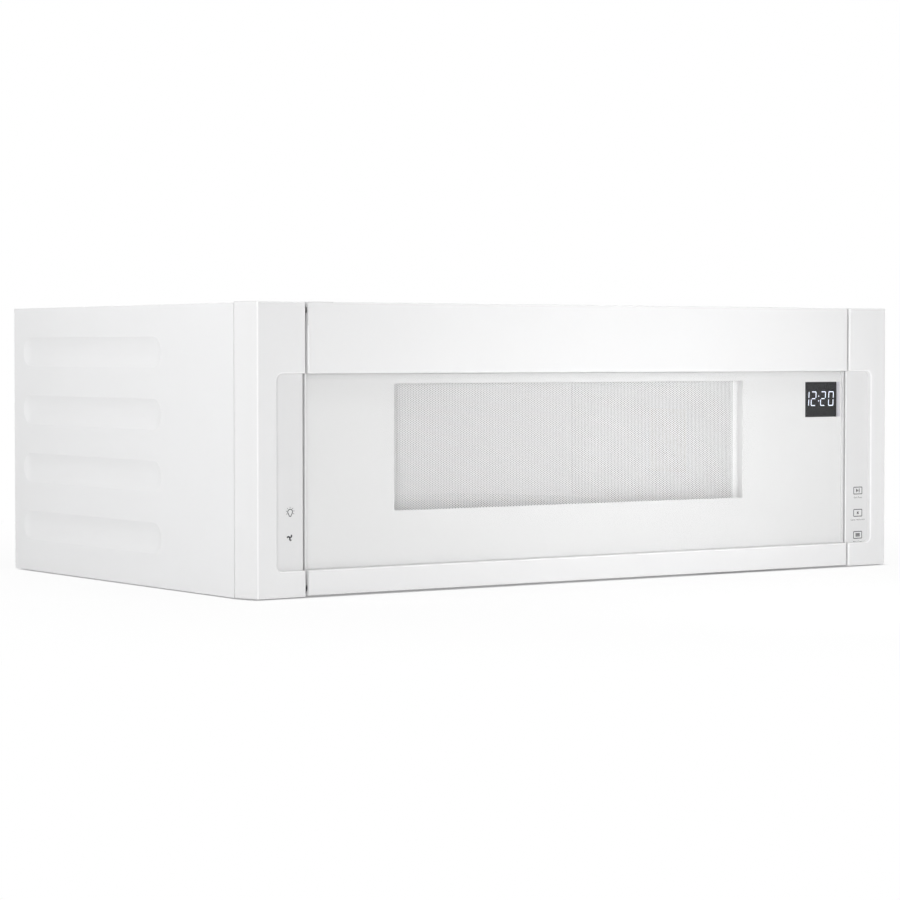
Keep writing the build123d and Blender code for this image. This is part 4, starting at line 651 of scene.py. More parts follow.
# -------------------------------------------------------------- geometry trees
def cell_sheet():
    """Sheet of equal cells in staggered columns: perforations or expanded mesh."""
    t = Pattern("cell_sheet")
    columns, rows, sides = t.inputs("NodeSocketInt", "Columns", "Rows", "Sides")
    column_pitch, row_pitch = t.inputs("NodeSocketFloat", "Column Pitch", "Row Pitch")
    half_width, half_height = t.inputs("NodeSocketFloat", "Half Width", "Half Height")
    opening, sheet = t.inputs("NodeSocketFloat", "Opening", "Sheet")

    def extruded(mesh, chosen, depth):
        sockets = {"Mesh": mesh, "Selection": chosen, "Offset Scale": depth}
        return t.node("GeometryNodeExtrudeMesh", {"mode": "FACES"}, sockets)

    def scaled(mesh, chosen, share):
        sockets = {"Geometry": mesh, "Selection": chosen, "Scale": share}
        return t.node("GeometryNodeScaleElements", {"domain": "FACE"}, sockets)

    width, height = (columns - 1) * column_pitch, (rows - 1) * row_pitch
    size = {"Size X": width, "Size Y": height, "Vertices X": columns, "Vertices Y": rows}
    grid = t.node("GeometryNodeMeshGrid", sockets=size)
    index = t.node("GeometryNodeInputIndex")
    column = t.node("ShaderNodeMath", {"operation": "FLOOR"}, {0: (index + 0.5) / rows})
    shift = t.node("ShaderNodeCombineXYZ", sockets={"Y": column % 2.0 * row_pitch * 0.5})
    points = t.node("GeometryNodeSetPosition", sockets={"Geometry": grid, "Offset": shift})
    circle = {"Vertices": sides, "Radius": 1.0}
    ring = t.node("GeometryNodeMeshCircle", {"fill_type": "NGON"}, circle)
    scale = t.node("ShaderNodeCombineXYZ", sockets={"X": half_width, "Y": half_height, "Z": 1.0})
    cell = t.node("GeometryNodeTransform", sockets={"Geometry": ring, "Scale": scale})

    front = extruded(cell, True, 0.0)
    hole = front.other("Top")
    wall = extruded(scaled(front, hole, opening), hole, 0.0 - sheet)
    back = extruded(wall, wall.other("Top"), 0.0)
    lid = back.other("Top")
    sockets = {"Geometry": scaled(back, lid, 1.0 / opening), "Selection": lid}
    ready = t.node("GeometryNodeDeleteGeometry", {"domain": "FACE"}, sockets)
    sockets = {"Points": points, "Instance": ready}
    placed = t.node("GeometryNodeInstanceOnPoints", sockets=sockets)
    real = t.node("GeometryNodeRealizeInstances", sockets={0: placed})
    sockets = {"Geometry": real, "Distance": 0.02 * MM}
    return t.end(t.node("GeometryNodeMergeByDistance", sockets=sockets))


def cell_values(columns, rows, sides, pitches, halves, opening, sheet, finish_name):
    """Inputs of the cell_sheet tree, with its pitches and half sizes as pairs."""
    return {
        "Columns": columns,
        "Rows": rows,
        "Sides": sides,
        "Column Pitch": pitches[0],
        "Row Pitch": pitches[1],
        "Half Width": halves[0],
        "Half Height": halves[1],
        "Opening": opening,
        "Sheet": sheet,
        "Finish": finish(finish_name),
    }


def printed_line():
    """Flat ribbons with rounded corners along drawn lines."""
    t = Pattern("printed_line")
    width, height, corner = t.inputs("NodeSocketFloat", "Width", "Thickness", "Corner")
    lines = t.node("GeometryNodeMeshToCurve", sockets={"Mesh": t.drawn()})
    sockets = {"Curve": lines, "Count": 4, "Radius": corner}
    soft = t.node("GeometryNodeFilletCurve", {"mode": "POLY"}, sockets)
    level_curve = t.node("GeometryNodeSetCurveNormal", {"mode": "Z_UP"}, {"Curve": soft})
    sockets = {"Width": width, "Height": height}
    section = t.node("GeometryNodeCurvePrimitiveQuadrilateral", sockets=sockets)
    sockets = {"Curve": level_curve, "Profile Curve": section, "Fill Caps": True}
    return t.end(t.node("GeometryNodeCurveToMesh", sockets=sockets))


def on_points():
    """One copy of a finished piece at every drawn point, each turned further than the last."""
    t = Pattern("on_points")
    piece, = t.inputs("NodeSocketObject", "Piece")
    turn, = t.inputs("NodeSocketFloat", "Turn")
    copy = t.node("GeometryNodeObjectInfo", sockets={"Object": piece}, output="Geometry")
    points = t.node("GeometryNodeMeshToPoints", sockets={"Mesh": t.drawn()})
    index = t.node("GeometryNodeInputIndex")
    spin = t.node("ShaderNodeCombineXYZ", sockets={"Y": index * turn})
    angle = t.node("FunctionNodeEulerToRotation", sockets={0: spin})
    sockets = {"Points": points, "Instance": copy, "Rotation": angle}
    return t.end(t.node("GeometryNodeInstanceOnPoints", sockets=sockets))


def upright(x, y, z):
    """Turns a drawing in the XY plane to face the viewer, with its origin at a place."""
    return Matrix.Translation((x, y, z)) @ Matrix.Rotation(pi / 2, 4, "X")


# --------------------------------------------------------------------- drawings
class Drawing:
    """Lines in millimetres, gathered for the printed_line tree."""

    def __init__(self):
        self.points = []
        self.edges = []

    def line(self, *points, closed=False):
        first = len(self.points)
        self.points += [(x * MM, y * MM, 0.0) for x, y in points]
        last = len(self.points) - 1
        self.edges += [(index, index + 1) for index in range(first, last)]
        if closed:
            self.edges.append((last, first))
        return self

    def box(self, x, y, width, height):
        left, right = x - width / 2, x + width / 2
        low, high = y - height / 2, y + height / 2
        return self.line((left, low), (right, low), (right, high), (left, high), closed=True)

    def arc(self, x, y, radius, start, end, steps=12):
        turns = [radians(start + (end - start) * index / steps) for index in range(steps + 1)]
        return self.line(*[(x + radius * cos(turn), y + radius * sin(turn)) for turn in turns])

    def grow(self, name, finish_name, place, width, thickness, corner=0.0):
        values = {
            "Width": width * MM,
            "Thickness": thickness * MM,
            "Corner": corner * MM,
            "Finish": finish(finish_name),
        }
        return printed_line().grow(name, values, self.points, self.edges, place)


# --------------------------------------------------------------- dressing steps
class HoodOperator:
    bl_options = {"REGISTER", "UNDO"}


def dress_all(*names):
    """Gives CAD nodes the finishes of their slots and reports an operator's end."""
    for name in names:
        dress(name)
    return {"FINISHED"}


class MICROWAVE_OT_cabinet(HoodOperator, bpy.types.Operator):
    """Finish the painted wrap, the base, the back and the mounting parts"""

    bl_idname = "microwave_hood.cabinet"
    bl_label = "Cabinet"

    def execute(self, context):
        return dress_all(
            "outer_cabinet", "base_plate", "front_plate", "rear_panel", "wall_bracket",
            "cord_bushing", "exhaust_frame", "damper_flap", "hinge_brackets", "filter_rails",
        )


class MICROWAVE_OT_mouldings(HoodOperator, bpy.types.Operator):
    """Finish the door moulding, its back cover, the trims and the small door parts"""

    bl_idname = "microwave_hood.mouldings"
    bl_label = "Door and trims"

    def execute(self, context):
        return dress_all(
            "door_frame", "choke_cover", "left_trim", "right_trim", "hinge_bushes",
            "strike_plate", "interlock_fingers", "touch_boards",
        )


class MICROWAVE_OT_glazing(HoodOperator, bpy.types.Operator):
    """Finish the door glass, its white print and the inner pane"""

    bl_idname = "microwave_hood.glazing"
    bl_label = "Glass and print"

    def execute(self, context):
        return dress_all("door_glass", "glass_print", "inner_pane")


class MICROWAVE_OT_screen(HoodOperator, bpy.types.Operator):
    """Finish the choke plate and make the perforated sheet in the door window"""

    bl_idname = "microwave_hood.screen"
    bl_label = "Perforated screen"

    def execute(self, context):
        dress("choke_frame", "choke_paint")
        look = context.scene.hood_screen
        low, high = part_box("door_screen")
        reach = look.row_pitch / 3 ** 0.5
        pitch = 1.5 * reach
        rows = int((high.z - low.z) / look.row_pitch - 0.5)
        columns = int((high.x - low.x - 0.5 * reach) / pitch / look.strips)
        tree = cell_sheet()
        start = (low.x + high.x - (look.strips * columns - 1) * pitch) / 2
        middle = (low.z + high.z) / 2 - look.row_pitch / 4
        pitches, halves = (pitch, look.row_pitch), (reach, reach)
        sheet = (look.opening, look.sheet, "screen_steel")
        values = cell_values(columns, rows, 6, pitches, halves, *sheet)
        for index in range(look.strips):
            centre = start + (index * columns + (columns - 1) / 2) * pitch
            place = upright(centre, low.y, middle)
            piece = tree.grow(f"screen_strip_{index + 1}", values, place=place)
            fit(piece, "door", "screen_steel", "door_screen")
        return {"FINISHED"}


DIGIT_WIDTH = 6.1
DIGIT_HEIGHT = 13.7
DIGIT_GAP = 0.8
DIGIT_LEAN = 0.05
ONE = ("upper_right", "lower_right")
TWO = ("top_hook", "middle", "bottom_hook")
NOUGHT = ("upper_cup", "lower_cup")
CLOCK_DIGITS = ((-6.55, ONE), (2.9, TWO), (15.5, TWO), (26.2, NOUGHT))
COLON_X = 13.1
COLON_HEIGHTS = (4.7, 9.4)
COLON_REACH = 0.7
CLOCK_ORIGIN = (0.2800, 0.1622)
CLOCK_OPENING = ((0.2704, 0.1508), (0.3169, 0.1860))


def seven_segment(drawing, x, lit):
    """Draws one digit whose lower left corner is at x; lit names its strokes."""
    w, h, gap = DIGIT_WIDTH, DIGIT_HEIGHT, DIGIT_GAP
    half = h / 2
    strokes = {
        "top_hook": [(gap, h), (w, h), (w, half + gap)],
        "middle": [(gap, half), (w - gap, half)],
        "bottom_hook": [(0, half - gap), (0, 0), (w - gap, 0)],
        "upper_cup": [(0, half + gap), (0, h), (w, h), (w, half + gap)],
        "lower_cup": [(0, half - gap), (0, 0), (w, 0), (w, half - gap)],
        "upper_right": [(w, h), (w, half + gap)],
        "lower_right": [(w, half - gap), (w, 0)],
    }
    for name in lit:
        drawing.line(*[(x + px + DIGIT_LEAN * py, py) for px, py in strokes[name]])


class MICROWAVE_OT_clock(HoodOperator, bpy.types.Operator):
    """Finish the clock window, make its lit digits and line its well"""

    bl_idname = "microwave_hood.clock"
    bl_label = "Clock"

    def execute(self, context):
        dress("display_module", "clock_window")
        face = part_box("display_module")[0].y
        drawing = Drawing()
        for x, lit in CLOCK_DIGITS:
            seven_segment(drawing, x, lit)
        for height in COLON_HEIGHTS:
            drawing.line((COLON_X, height - COLON_REACH), (COLON_X, height + COLON_REACH))
        place = upright(CLOCK_ORIGIN[0], face - 0.03 * MM, CLOCK_ORIGIN[1])
        piece = drawing.grow("clock_digits", "clock_light", place, 0.85, 0.06, 0.9)
        fit(piece, "door", "dark_plastic")

        # The well's lining carries a painted glow of the clock's light.
        (left, bottom), (right, top) = CLOCK_OPENING
        wall, back = 0.3 * MM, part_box("glass_print")[1].y
        low = Vector((left - 2 * wall, bottom - 2 * wall, 0.0))
        high = Vector((right + 1.2 * wall, top + 2 * wall, face - back - 0.05 * MM))
        lining = framed(low, high, wall, 0.05 * MM)
        place = upright(0.0, face - 0.03 * MM, 0.0)
        bmesh.ops.transform(lining, matrix=place, verts=lining.verts)
        piece = link_shape("clock_collar", lining, "clock_collar")
        fit(piece, "door", "white_moulding")
        return {"FINISHED"}


LAMP_KEY = (-0.33565, 0.0743)
FAN_KEY = (-0.33595, 0.0526)
RIGHT_KEYS = 0.3392
KEY_HEIGHTS = (75.6, 53.0, 30.6)
KEY_BOX = (11.2, 6.9)
CAPTIONS = ("Start / Pause", "Cancel / Hold to lock", "Menu / Timer")
CAPTION_DROP = 7.6
CAPTION_SIZE = 2.2


def caption(name, words, place):
    """Small grey words made a flat mesh, centred on their place."""
    text = bpy.data.curves.new(name, "FONT")
    text.body = words
    text.size = CAPTION_SIZE * MM
    text.align_x = "CENTER"
    text.resolution_u = 2
    text.extrude = 0.01 * MM
    drawn = link(name + "_text", text)
    graph = bpy.context.evaluated_depsgraph_get()
    mesh = bpy.data.meshes.new_from_object(drawn.evaluated_get(graph), depsgraph=graph)
    bpy.data.objects.remove(drawn)
    mesh.name = name
    mesh.transform(place)
    mesh.materials.clear()
    mesh.materials.append(finish("caption_ink"))
    return link(name, mesh)


def left_key_drawings():
    """A lamp with its rays, and a fan of three curved blades round a hub."""
    lamp = Drawing().arc(0, 0.9, 2.45, -38, 218)
    lamp.line((1.93, -0.61), (0.55, -3.0), (-0.55, -3.0), (-1.93, -0.61))
    rays = Drawing()
    for turn in (-25, 12, 50, 90, 130, 168, 205):
        x, y = cos(radians(turn)), sin(radians(turn))
        rays.line((3.5 * x, 0.9 + 3.5 * y), (4.4 * x, 0.9 + 4.4 * y))
    fan = Drawing()
    for turn in (12, 132, 252):
        blade = [(reach, radians(turn + bend)) for reach, bend in ((0.9, 0), (1.9, 18), (3.0, 46))]
        fan.line(*[(reach * cos(angle), reach * sin(angle)) for reach, angle in blade])
    return lamp, rays, fan, Drawing().arc(0, 0, 0.55, 0, 360)


def right_key_drawings():
    """Frames of the keys, and the signs in them: play and pause, a cross, three bars."""
    boxes = Drawing()
    for height in KEY_HEIGHTS:
        boxes.box(0, height, *KEY_BOX)
    start, stop, menu = KEY_HEIGHTS
    signs = Drawing()
    signs.line((-2.2, start - 1.6), (-2.2, start + 1.6), (0.4, start), closed=True)
    signs.line((-1.6, start - 0.6), (-1.6, start + 0.6), (-0.6, start))
    signs.line((1.8, start - 2.0), (1.8, start + 2.0))
    signs.line((-1.2, stop - 1.2), (1.2, stop + 1.2))
    signs.line((-1.2, stop + 1.2), (1.2, stop - 1.2))
    for lift in (-1.2, 0.0, 1.2):
        signs.line((-2.9, menu + lift), (2.9, menu + lift))
    return boxes, signs


class MICROWAVE_OT_key_marks(HoodOperator, bpy.types.Operator):
    """Make the printed pictograms of the touch keys on both trims"""

    bl_idname = "microwave_hood.key_marks"
    bl_label = "Key marks"

    def execute(self, context):
        lamp, rays, fan, hub = left_key_drawings()
        boxes, signs = right_key_drawings()
        y = SUNK_FACE - 0.02 * MM
        marks = (
            (lamp, "lamp_key_mark", LAMP_KEY, 0.75, 0.0),
            (rays, "lamp_key_rays", LAMP_KEY, 0.5, 0.0),
            (fan, "fan_key_mark", FAN_KEY, 1.45, 0.0),
            (hub, "fan_key_hub", FAN_KEY, 1.1, 0.0),
            (boxes, "right_key_boxes", (RIGHT_KEYS, 0.0), 0.75, 0.5),
            (signs, "right_key_signs", (RIGHT_KEYS, 0.0), 0.9, 0.0),
        )
        for drawing, name, (x, z), width, corner in marks:
            piece = drawing.grow(name, "key_ink", upright(x, y, z), width, 0.04, corner)
            fit(piece, "cabinet", "dark_plastic")
        for words, height in zip(CAPTIONS, KEY_HEIGHTS):
            name = "caption_" + words.split()[0].lower()
            place = upright(RIGHT_KEYS, y, (height - CAPTION_DROP) * MM)
            fit(caption(name, words, place), "cabinet", "dark_plastic")
        return {"FINISHED"}


def lathe(profile, centre, segments=96):
    """Closed shape turned about the vertical through centre; profile runs axis to axis."""
    points = []
    faces = []
    rings = []
    for radius, z in profile:
        if radius == 0:
            rings.append([len(points)])
            points.append((centre.x, centre.y, z))
            continue
        rings.append(list(range(len(points), len(points) + segments)))
        for index in range(segments):
            turn = 2 * pi * index / segments
            points.append((centre.x + radius * cos(turn), centre.y + radius * sin(turn), z))
    for lower, upper in zip(rings, rings[1:]):
        for index in range(segments):
            after = (index + 1) % segments
            corners = (
                lower[index % len(lower)],
                lower[after % len(lower)],
                upper[after % len(upper)],
                upper[index % len(upper)],
            )
            faces.append(tuple(dict.fromkeys(corners)))
    return points, faces


RING_COUNT = 8
RING_PITCH = 14.5 * MM
RING_HALF = 1.6 * MM
RING_DEPTH = 0.9 * MM


def tray_profile(foot, top, radius):
    """Outline of the glass dish: ringed underside, flared rim, shallow well on top."""
    under = [(0, foot)]
    for ring in range(1, RING_COUNT + 1):
        at = ring * RING_PITCH
        under += [(at - RING_HALF, foot), (at, foot + RING_DEPTH), (at + RING_HALF, foot)]
    flare = [(radius - 0.0125, foot), (radius - 0.0065, foot + 0.0042)]
    rim = [
        (radius - 0.0012, top - 0.0026),
        (radius, top - 0.0012),
        (radius - 0.0012, top),
        (radius - 0.0036, top - 0.0004),
    ]
    inside = [
        (radius - 0.0062, top - 0.0036),
        (radius - 0.0115, foot + 0.0062),
        (radius - 0.0165, foot + 0.005),
    ]
    well = [(0.048, foot + 0.005), (0.046, foot + 0.0043), (0, foot + 0.0043)]
    return under + flare + rim + inside + well


class MICROWAVE_OT_oven(HoodOperator, bpy.types.Operator):
    """Finish the oven cavity with its lamp, and make the glass tray"""

    bl_idname = "microwave_hood.oven"
    bl_label = "Oven"

    def execute(self, context):
        dress_all(
            "oven_cavity", "cavity_lamp", "waveguide_cover", "turntable_motor",
            "turntable_coupler", "roller_ring", "roller_1", "roller_2", "roller_3",
            "turntable_tray",
        )
        low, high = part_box("turntable_tray")
        profile = tray_profile(low.z, high.z, (high.x - low.x) / 2)
        points, faces = lathe(profile, (low + high) / 2)
        mesh = bpy.data.meshes.new("ringed_tray")
        mesh.from_pydata(points, [], faces)
        piece = link_mesh("ringed_tray", mesh, "tray_glass")
        fit(piece, "turntable", "clear_glass", "turntable_tray")
        return {"FINISHED"}


def framed(low, high, rim, roll):
    """Box frame with a rolled edge: outer and inner loops joined by quads, then bevelled."""
    shape = bmesh.new()
    loops = []
    for inset in (0.0, rim):
        for z in (low.z, high.z):
            corners = (
                (low.x + inset, low.y + inset),
                (high.x - inset, low.y + inset),
                (high.x - inset, high.y - inset),
                (low.x + inset, high.y - inset),
            )
            loops.append([shape.verts.new((x, y, z)) for x, y in corners])
    outer_low, outer_high, inner_low, inner_high = loops
    sides = (
        (outer_low, outer_high),
        (outer_high, inner_high),
        (inner_high, inner_low),
        (inner_low, outer_low),
    )
    for index in range(4):
        after = (index + 1) % 4
        for first, second in sides:
            shape.faces.new((first[index], first[after], second[after], second[index]))
    soften(shape, roll, 3)
    bmesh.ops.recalc_face_normals(shape, faces=shape.faces[:])
    return shape


def soften(shape, radius, segments):
    """Rounds every edge of a small shape."""
    rounding = {"offset": radius, "segments": segments, "profile": 0.5, "affect": "EDGES"}
    bmesh.ops.bevel(shape, geom=shape.edges[:], clamp_overlap=True, **rounding)


TAB_SIZE = Vector((16.0, 12.0, 0.8)) * MM
TAB_INSET = 5 * MM
TAB_LIFT = 0.7 * MM
MESH_SHEET = 0.5 * MM
MESH_LIFT = 1.6 * MM
MESH_STEP = 2.4 * MM


class MICROWAVE_OT_grease_filters(HoodOperator, bpy.types.Operator):
    """Make both grease filters: a rolled frame, two crossed meshes and a pull tab"""

    bl_idname = "microwave_hood.grease_filters"
    bl_label = "Grease filters"

    def execute(self, context):
        look = context.scene.hood_filters
        tree = cell_sheet()
        for side in ("left", "right"):
            node = f"grease_filter_{side}"
            dress(node)
            low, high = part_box(node)
            frame_shape = framed(low, high, look.rim, 0.6 * MM)
            pieces = [link_shape(f"filter_frame_{side}", frame_shape, "aluminium")]
            pieces += self.meshes(look, tree, side, low, high)
            pieces.append(self.tab(look, side, low, high))
            for piece in pieces:
                fit(piece, f"filter_{side}", "aluminium", node)
        return {"FINISHED"}

    def meshes(self, look, tree, side, low, high):
        """Two layers of expanded mesh, the upper one with its cells turned."""
        across, along = (high.x - low.x - 1.2 * look.rim, high.y - low.y - 1.2 * look.rim)
        middle = (low + high) / 2
        layers = ((look.cell_width, look.cell_height), (look.cell_height, look.cell_width))
        made = []
        for layer, (width, height) in enumerate(layers):
            columns = int(across / (width / 2)) - 1
            rows = int(along / height - 0.5)
            pitches, halves = (width / 2, height), (width / 2, height / 2)
            sheet = (look.strand, MESH_SHEET, "aluminium")
            values = cell_values(columns, rows, 4, pitches, halves, *sheet)
            at = (middle.x, middle.y - height / 4, low.z + MESH_LIFT + MESH_STEP * layer)
            place = Matrix.Translation(at) @ Matrix.Rotation(pi, 4, "X")
            made.append(tree.grow(f"filter_mesh_{side}_{layer + 1}", values, place=place))
        return made

    def tab(self, look, side, low, high):
        shape = bmesh.new()
        bmesh.ops.create_cube(shape, size=1.0)
        at = Vector(((low.x + high.x) / 2, low.y + look.rim + TAB_INSET, low.z + TAB_LIFT))
        bmesh.ops.scale(shape, vec=TAB_SIZE, verts=shape.verts)
        bmesh.ops.translate(shape, vec=at, verts=shape.verts)
        soften(shape, 0.3 * MM, 2)
        return link_shape(f"filter_tab_{side}", shape, "aluminium")


class MICROWAVE_OT_hood_parts(HoodOperator, bpy.types.Operator):
    """Finish the cooktop lamps, charcoal pads, blower and its ducts"""

    bl_idname = "microwave_hood.hood_parts"
    bl_label = "Hood parts"

    def execute(self, context):
        return dress_all(
            "lamp_lenses", "lamp_boards", "charcoal_filters", "blower_housings", "blower_wheels",
            "blower_shaft", "blower_motor",
        )


class MICROWAVE_OT_power_parts(HoodOperator, bpy.types.Operator):
    """Finish the parts in the component bay"""

    bl_idname = "microwave_hood.power_parts"
    bl_label = "Component bay"

    def execute(self, context):
        return dress_all(
            "waveguide", "magnetron_yoke", "magnetron_core", "transformer_core",
            "transformer_windings", "capacitor", "line_filter", "fan_housing", "fan_motor",
            "fan_blade", "control_carrier", "control_board", "interlock_holder",
            "interlock_switches", "catch_magnet", "thermal_cutouts",
        )


SCREW_SIDES = 24
CROSS_ARM = 0.3                 # half the turn of one arm of the recess, in radians


def screw_head(radius, height):
    """Washer-head screw with a cross recess, facing -Z, standing on the origin."""
    shape = bmesh.new()
    turns = [2 * pi * index / SCREW_SIDES for index in range(SCREW_SIDES)]
    washer = 0.35 * height

    def ring(depth, share, reach=lambda turn: 1.0):
        made = []
        for turn in turns:
            span = share * radius * reach(turn)
            made.append(shape.verts.new((span * cos(turn), span * sin(turn), -depth)))
        return made

    def hexagon(turn):
        return cos(pi / 6) / cos((turn % (pi / 3)) - pi / 6)

    def cross(arm, waist):
        """Reach of a cross recess in its arms and between them."""
        return lambda turn: arm if abs(((turn + pi / 4) % (pi / 2)) - pi / 4) < CROSS_ARM else waist

    loops = [ring(0.0, 1.0), ring(0.7 * washer, 1.0), ring(washer, 0.92), ring(washer, 0.72)]
    loops += [ring(washer, 0.7, hexagon), ring(0.85 * height, 0.7, hexagon)]
    loops += [ring(height, 0.62, hexagon), ring(height, 1.0, cross(0.42, 0.1846))]
    loops.append(ring(0.45 * height, 1.0, cross(0.3, 0.1136)))
    for lower, upper in zip(loops, loops[1:]):
        for index in range(SCREW_SIDES):
            after = (index + 1) % SCREW_SIDES
            shape.faces.new((lower[index], lower[after], upper[after], upper[index]))
    shape.faces.new(loops[-1])
    shape.faces.new(loops[0][::-1])
    bmesh.ops.recalc_face_normals(shape, faces=shape.faces[:])
    return shape


class MICROWAVE_OT_screws(HoodOperator, bpy.types.Operator):
    """Make the screws that hold the back panel"""

    bl_idname = "microwave_hood.screws"
    bl_label = "Screws"

    def execute(self, context):
        dress("case_screws")
        low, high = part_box("case_screws")
        radius = 4 * MM
        outer = high.x - radius
        inner = (outer + 12 * MM) / 3
        heights = (low.z + radius, high.z - radius)
        points = [(x, low.y, z) for x in (-outer, -inner, inner, outer) for z in heights]
        shape = screw_head(radius, high.y - low.y)
        head = link_shape("screw_pattern", shape, "steel", smooth=False)
        head.data.transform(Matrix.Rotation(pi / 2, 4, "X"))
        values = {"Piece": head, "Turn": 0.7, "Finish": finish("steel")}
        piece = on_points().grow("back_screws", values, points)
        bpy.data.objects.remove(head)
        fit(piece, "cabinet", "steel", "case_screws")
        return {"FINISHED"}


# ------------------------------------------------------------------------ stage
CAMERA_PLACE = Vector((-1.6494, -2.3597, 0.2144))
CAMERA_YAW = radians(34.81)
CAMERA_PITCH = radians(1.937)
CAMERA_LENS = 114.07
FLOOR_CORNERS = [(-30.0, -15.0, 0.0), (30.0, -15.0, 0.0), (0.0, 30.0, 0.0)]
FLOOR_DROP = 1.1 * MM
FLOOR_FADE = (0.35, 0.95)       # from the middle: where the fade to white begins and ends
FLOOR_WHITE = 0.87              # share of white before the fade
FOOTPRINT = (0.379, 0.228)      # half the width and depth of the object
UNDER_GLOW = 0.5                # light that the floor gives the underside

# place, target and size of each soft lamp; only the first shows in reflections
LAMPS = {
    "key": ((-1.25, -1.15, 0.45), (-0.20, -0.20, 0.13), (0.30, 0.60)),
    "front": ((0.09, -0.80, 0.22), (0.09, 0.0, 0.15), (0.3, 0.15)),
    "side": ((-1.20, -0.05, 0.90), (-0.38, 0.03, 0.14), (0.4, 0.4)),
    "top": ((0.1, -0.6, 2.0), (0.0, 0.0, 0.2), (1.6, 1.0)),
    "right": ((1.45, -0.1, 0.7), (0.38, 0.0, 0.12), (0.8, 0.6)),
    "back": ((0.2, 1.6, 0.9), (0.0, 0.23, 0.13), (1.2, 0.8)),
}


def studio_floor(f, look):
    """Pale floor that keeps a soft shadow near the object and fades into the backdrop."""
    seen, bounced = f.rays()
    away = f.node("ShaderNodeVectorMath", {"operation": "LENGTH"}, {0: f.place}, "Value")
    behind = f.node("ShaderNodeNewGeometry", output="Backfacing")
    tone = f.blend(f.noise(30.0), look.floor, shade(look.floor, 0.99))
    matt = f.node("ShaderNodeBsdfDiffuse", sockets={"Color": tone})
    glow = f.node("ShaderNodeEmission", sockets={"Color": WHITE, "Strength": 1.0})
    clear = f.node("ShaderNodeBsdfTransparent")
    under = (abs(f.x) < FOOTPRINT[0]) * (abs(f.y) < FOOTPRINT[1])
    open_share = away.ramp(*FLOOR_FADE, FLOOR_WHITE, 1.0) * seen * (1 - under)
    share = open_share + bounced * under * UNDER_GLOW
    return f.done(f.over(behind, f.over(share, matt, glow), clear))


def add_floor(look):
    mesh = bpy.data.meshes.new("floor")
    mesh.from_pydata(FLOOR_CORNERS, [], [(0, 1, 2)])
    mesh.transform(Matrix.Translation((0, 0, -FLOOR_DROP)))
    mesh.materials.append(studio_floor(Finish("studio_floor"), look))
    ground = link("floor", mesh)


def add_world(look):
    """White to the eye, and a plain level of light from all round."""
    world = bpy.data.worlds.new("studio")
    world.use_nodes = True
    world.node_tree.nodes.clear()
    w = Wiring(world.node_tree)
    strength = w.rays()[0].ramp(0.0, 1.0, look.ambient, 1.0)
    sky = w.node("ShaderNodeBackground", sockets={"Color": WHITE, "Strength": strength})
    w.node("ShaderNodeOutputWorld", sockets={"Surface": sky})
    bpy.context.scene.world = world


def add_lamp(name, place, target, size, energy):
    light = bpy.data.lights.new(name, "AREA")
    light.shape = "RECTANGLE"
    light.size, light.size_y = size
    light.energy = energy
    lamp = link(name, light)
    lamp.location = place
    towards = Vector(target) - Vector(place)
    lamp.rotation_euler = towards.to_track_quat("-Z", "Y").to_euler()
    lamp.visible_camera = False
    lamp.visible_glossy = name == "key"


def add_camera():
    lens = bpy.data.cameras.new("camera")
    lens.sensor_fit = "HORIZONTAL"
    lens.sensor_width = 36.0
    lens.lens = CAMERA_LENS
    camera = link("camera", lens)
    camera.location = CAMERA_PLACE
    level_share = cos(CAMERA_PITCH)
    ahead = Vector((
        sin(CAMERA_YAW) * level_share,
        cos(CAMERA_YAW) * level_share,
        -sin(CAMERA_PITCH),
    ))
    camera.rotation_euler = ahead.to_track_quat("-Z", "Y").to_euler()
    bpy.context.scene.camera = camera


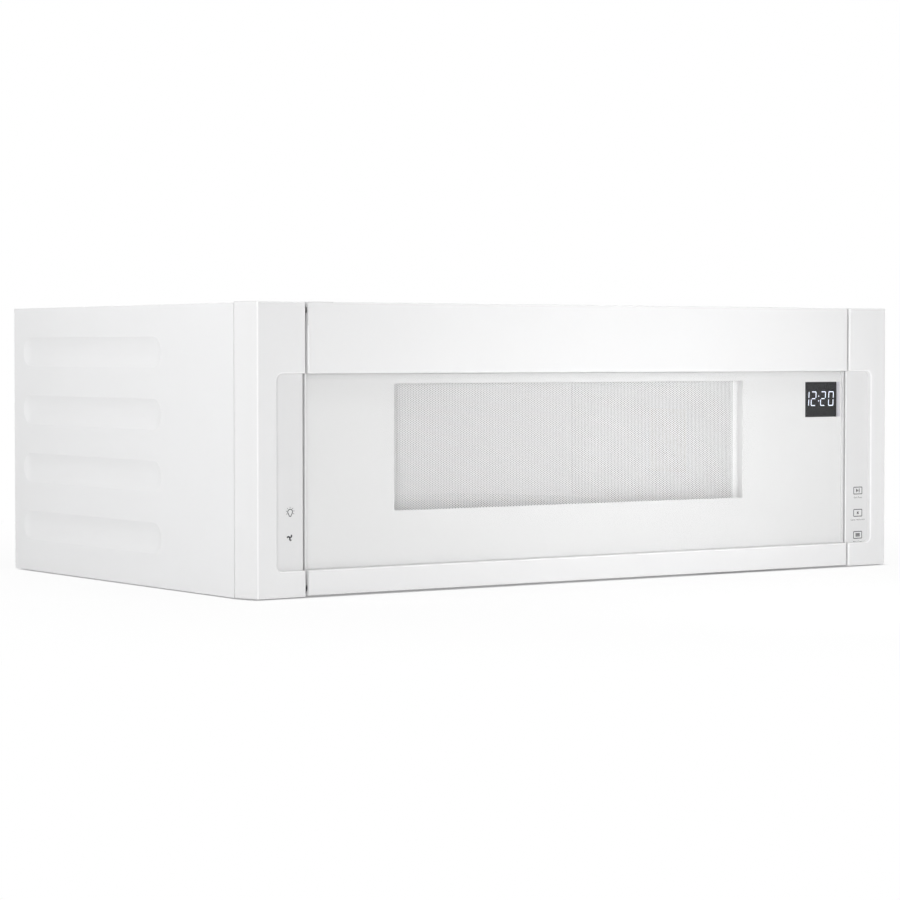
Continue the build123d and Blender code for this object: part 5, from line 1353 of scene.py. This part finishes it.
class MICROWAVE_OT_stage(HoodOperator, bpy.types.Operator):
    """Make the floor, the surroundings, the soft lamps and the camera"""

    bl_idname = "microwave_hood.stage"
    bl_label = "Stage"

    def execute(self, context):
        look = context.scene.hood_stage
        add_floor(look)
        add_world(look)
        for name, (place, target, size) in LAMPS.items():
            add_lamp(name, place, target, size, getattr(look, name))
        add_camera()
        context.scene.view_settings.view_transform = "Standard"
        return {"FINISHED"}


# ----------------------------------------------------------------------- add-on
OPERATORS = (
    MICROWAVE_OT_cabinet,
    MICROWAVE_OT_mouldings,
    MICROWAVE_OT_glazing,
    MICROWAVE_OT_screen,
    MICROWAVE_OT_clock,
    MICROWAVE_OT_key_marks,
    MICROWAVE_OT_oven,
    MICROWAVE_OT_grease_filters,
    MICROWAVE_OT_hood_parts,
    MICROWAVE_OT_power_parts,
    MICROWAVE_OT_screws,
    MICROWAVE_OT_stage,
)


class MICROWAVE_PT_hood(bpy.types.Panel):
    """Lists the steps that dress the hood, with their sizes and colours"""

    bl_idname = "MICROWAVE_PT_hood"
    bl_label = "Microwave Hood"
    bl_space_type = "VIEW_3D"
    bl_region_type = "UI"
    bl_category = "Microwave"

    def draw(self, context):
        layout = self.layout
        for operator in OPERATORS:
            layout.operator(operator.bl_idname)
        for name, group in GROUPS.items():
            column = layout.column(align=True)
            column.label(text=name.replace("_", " ").capitalize())
            for label in group.__annotations__:
                column.prop(getattr(context.scene, name), label)


CLASSES = (*GROUPS.values(), *OPERATORS, MICROWAVE_PT_hood)


def register():
    for each in CLASSES:
        bpy.utils.register_class(each)
    for name, group in GROUPS.items():
        setattr(bpy.types.Scene, name, bpy.props.PointerProperty(type=group))


def unregister():
    for name in GROUPS:
        delattr(bpy.types.Scene, name)
    for each in reversed(CLASSES):
        bpy.utils.unregister_class(each)


def main():
    register()
    for operator in OPERATORS:
        getattr(bpy.ops.microwave_hood, operator.bl_idname.split(".")[1])()
    shown = [name for name, node in NODES.items() if not node.hide_render]
    bare = [name for name in shown if not NODES[name].data.materials]
    if bare:
        raise RuntimeError(f"no finish on {bare}")


if __name__ == "__main__":
    main()
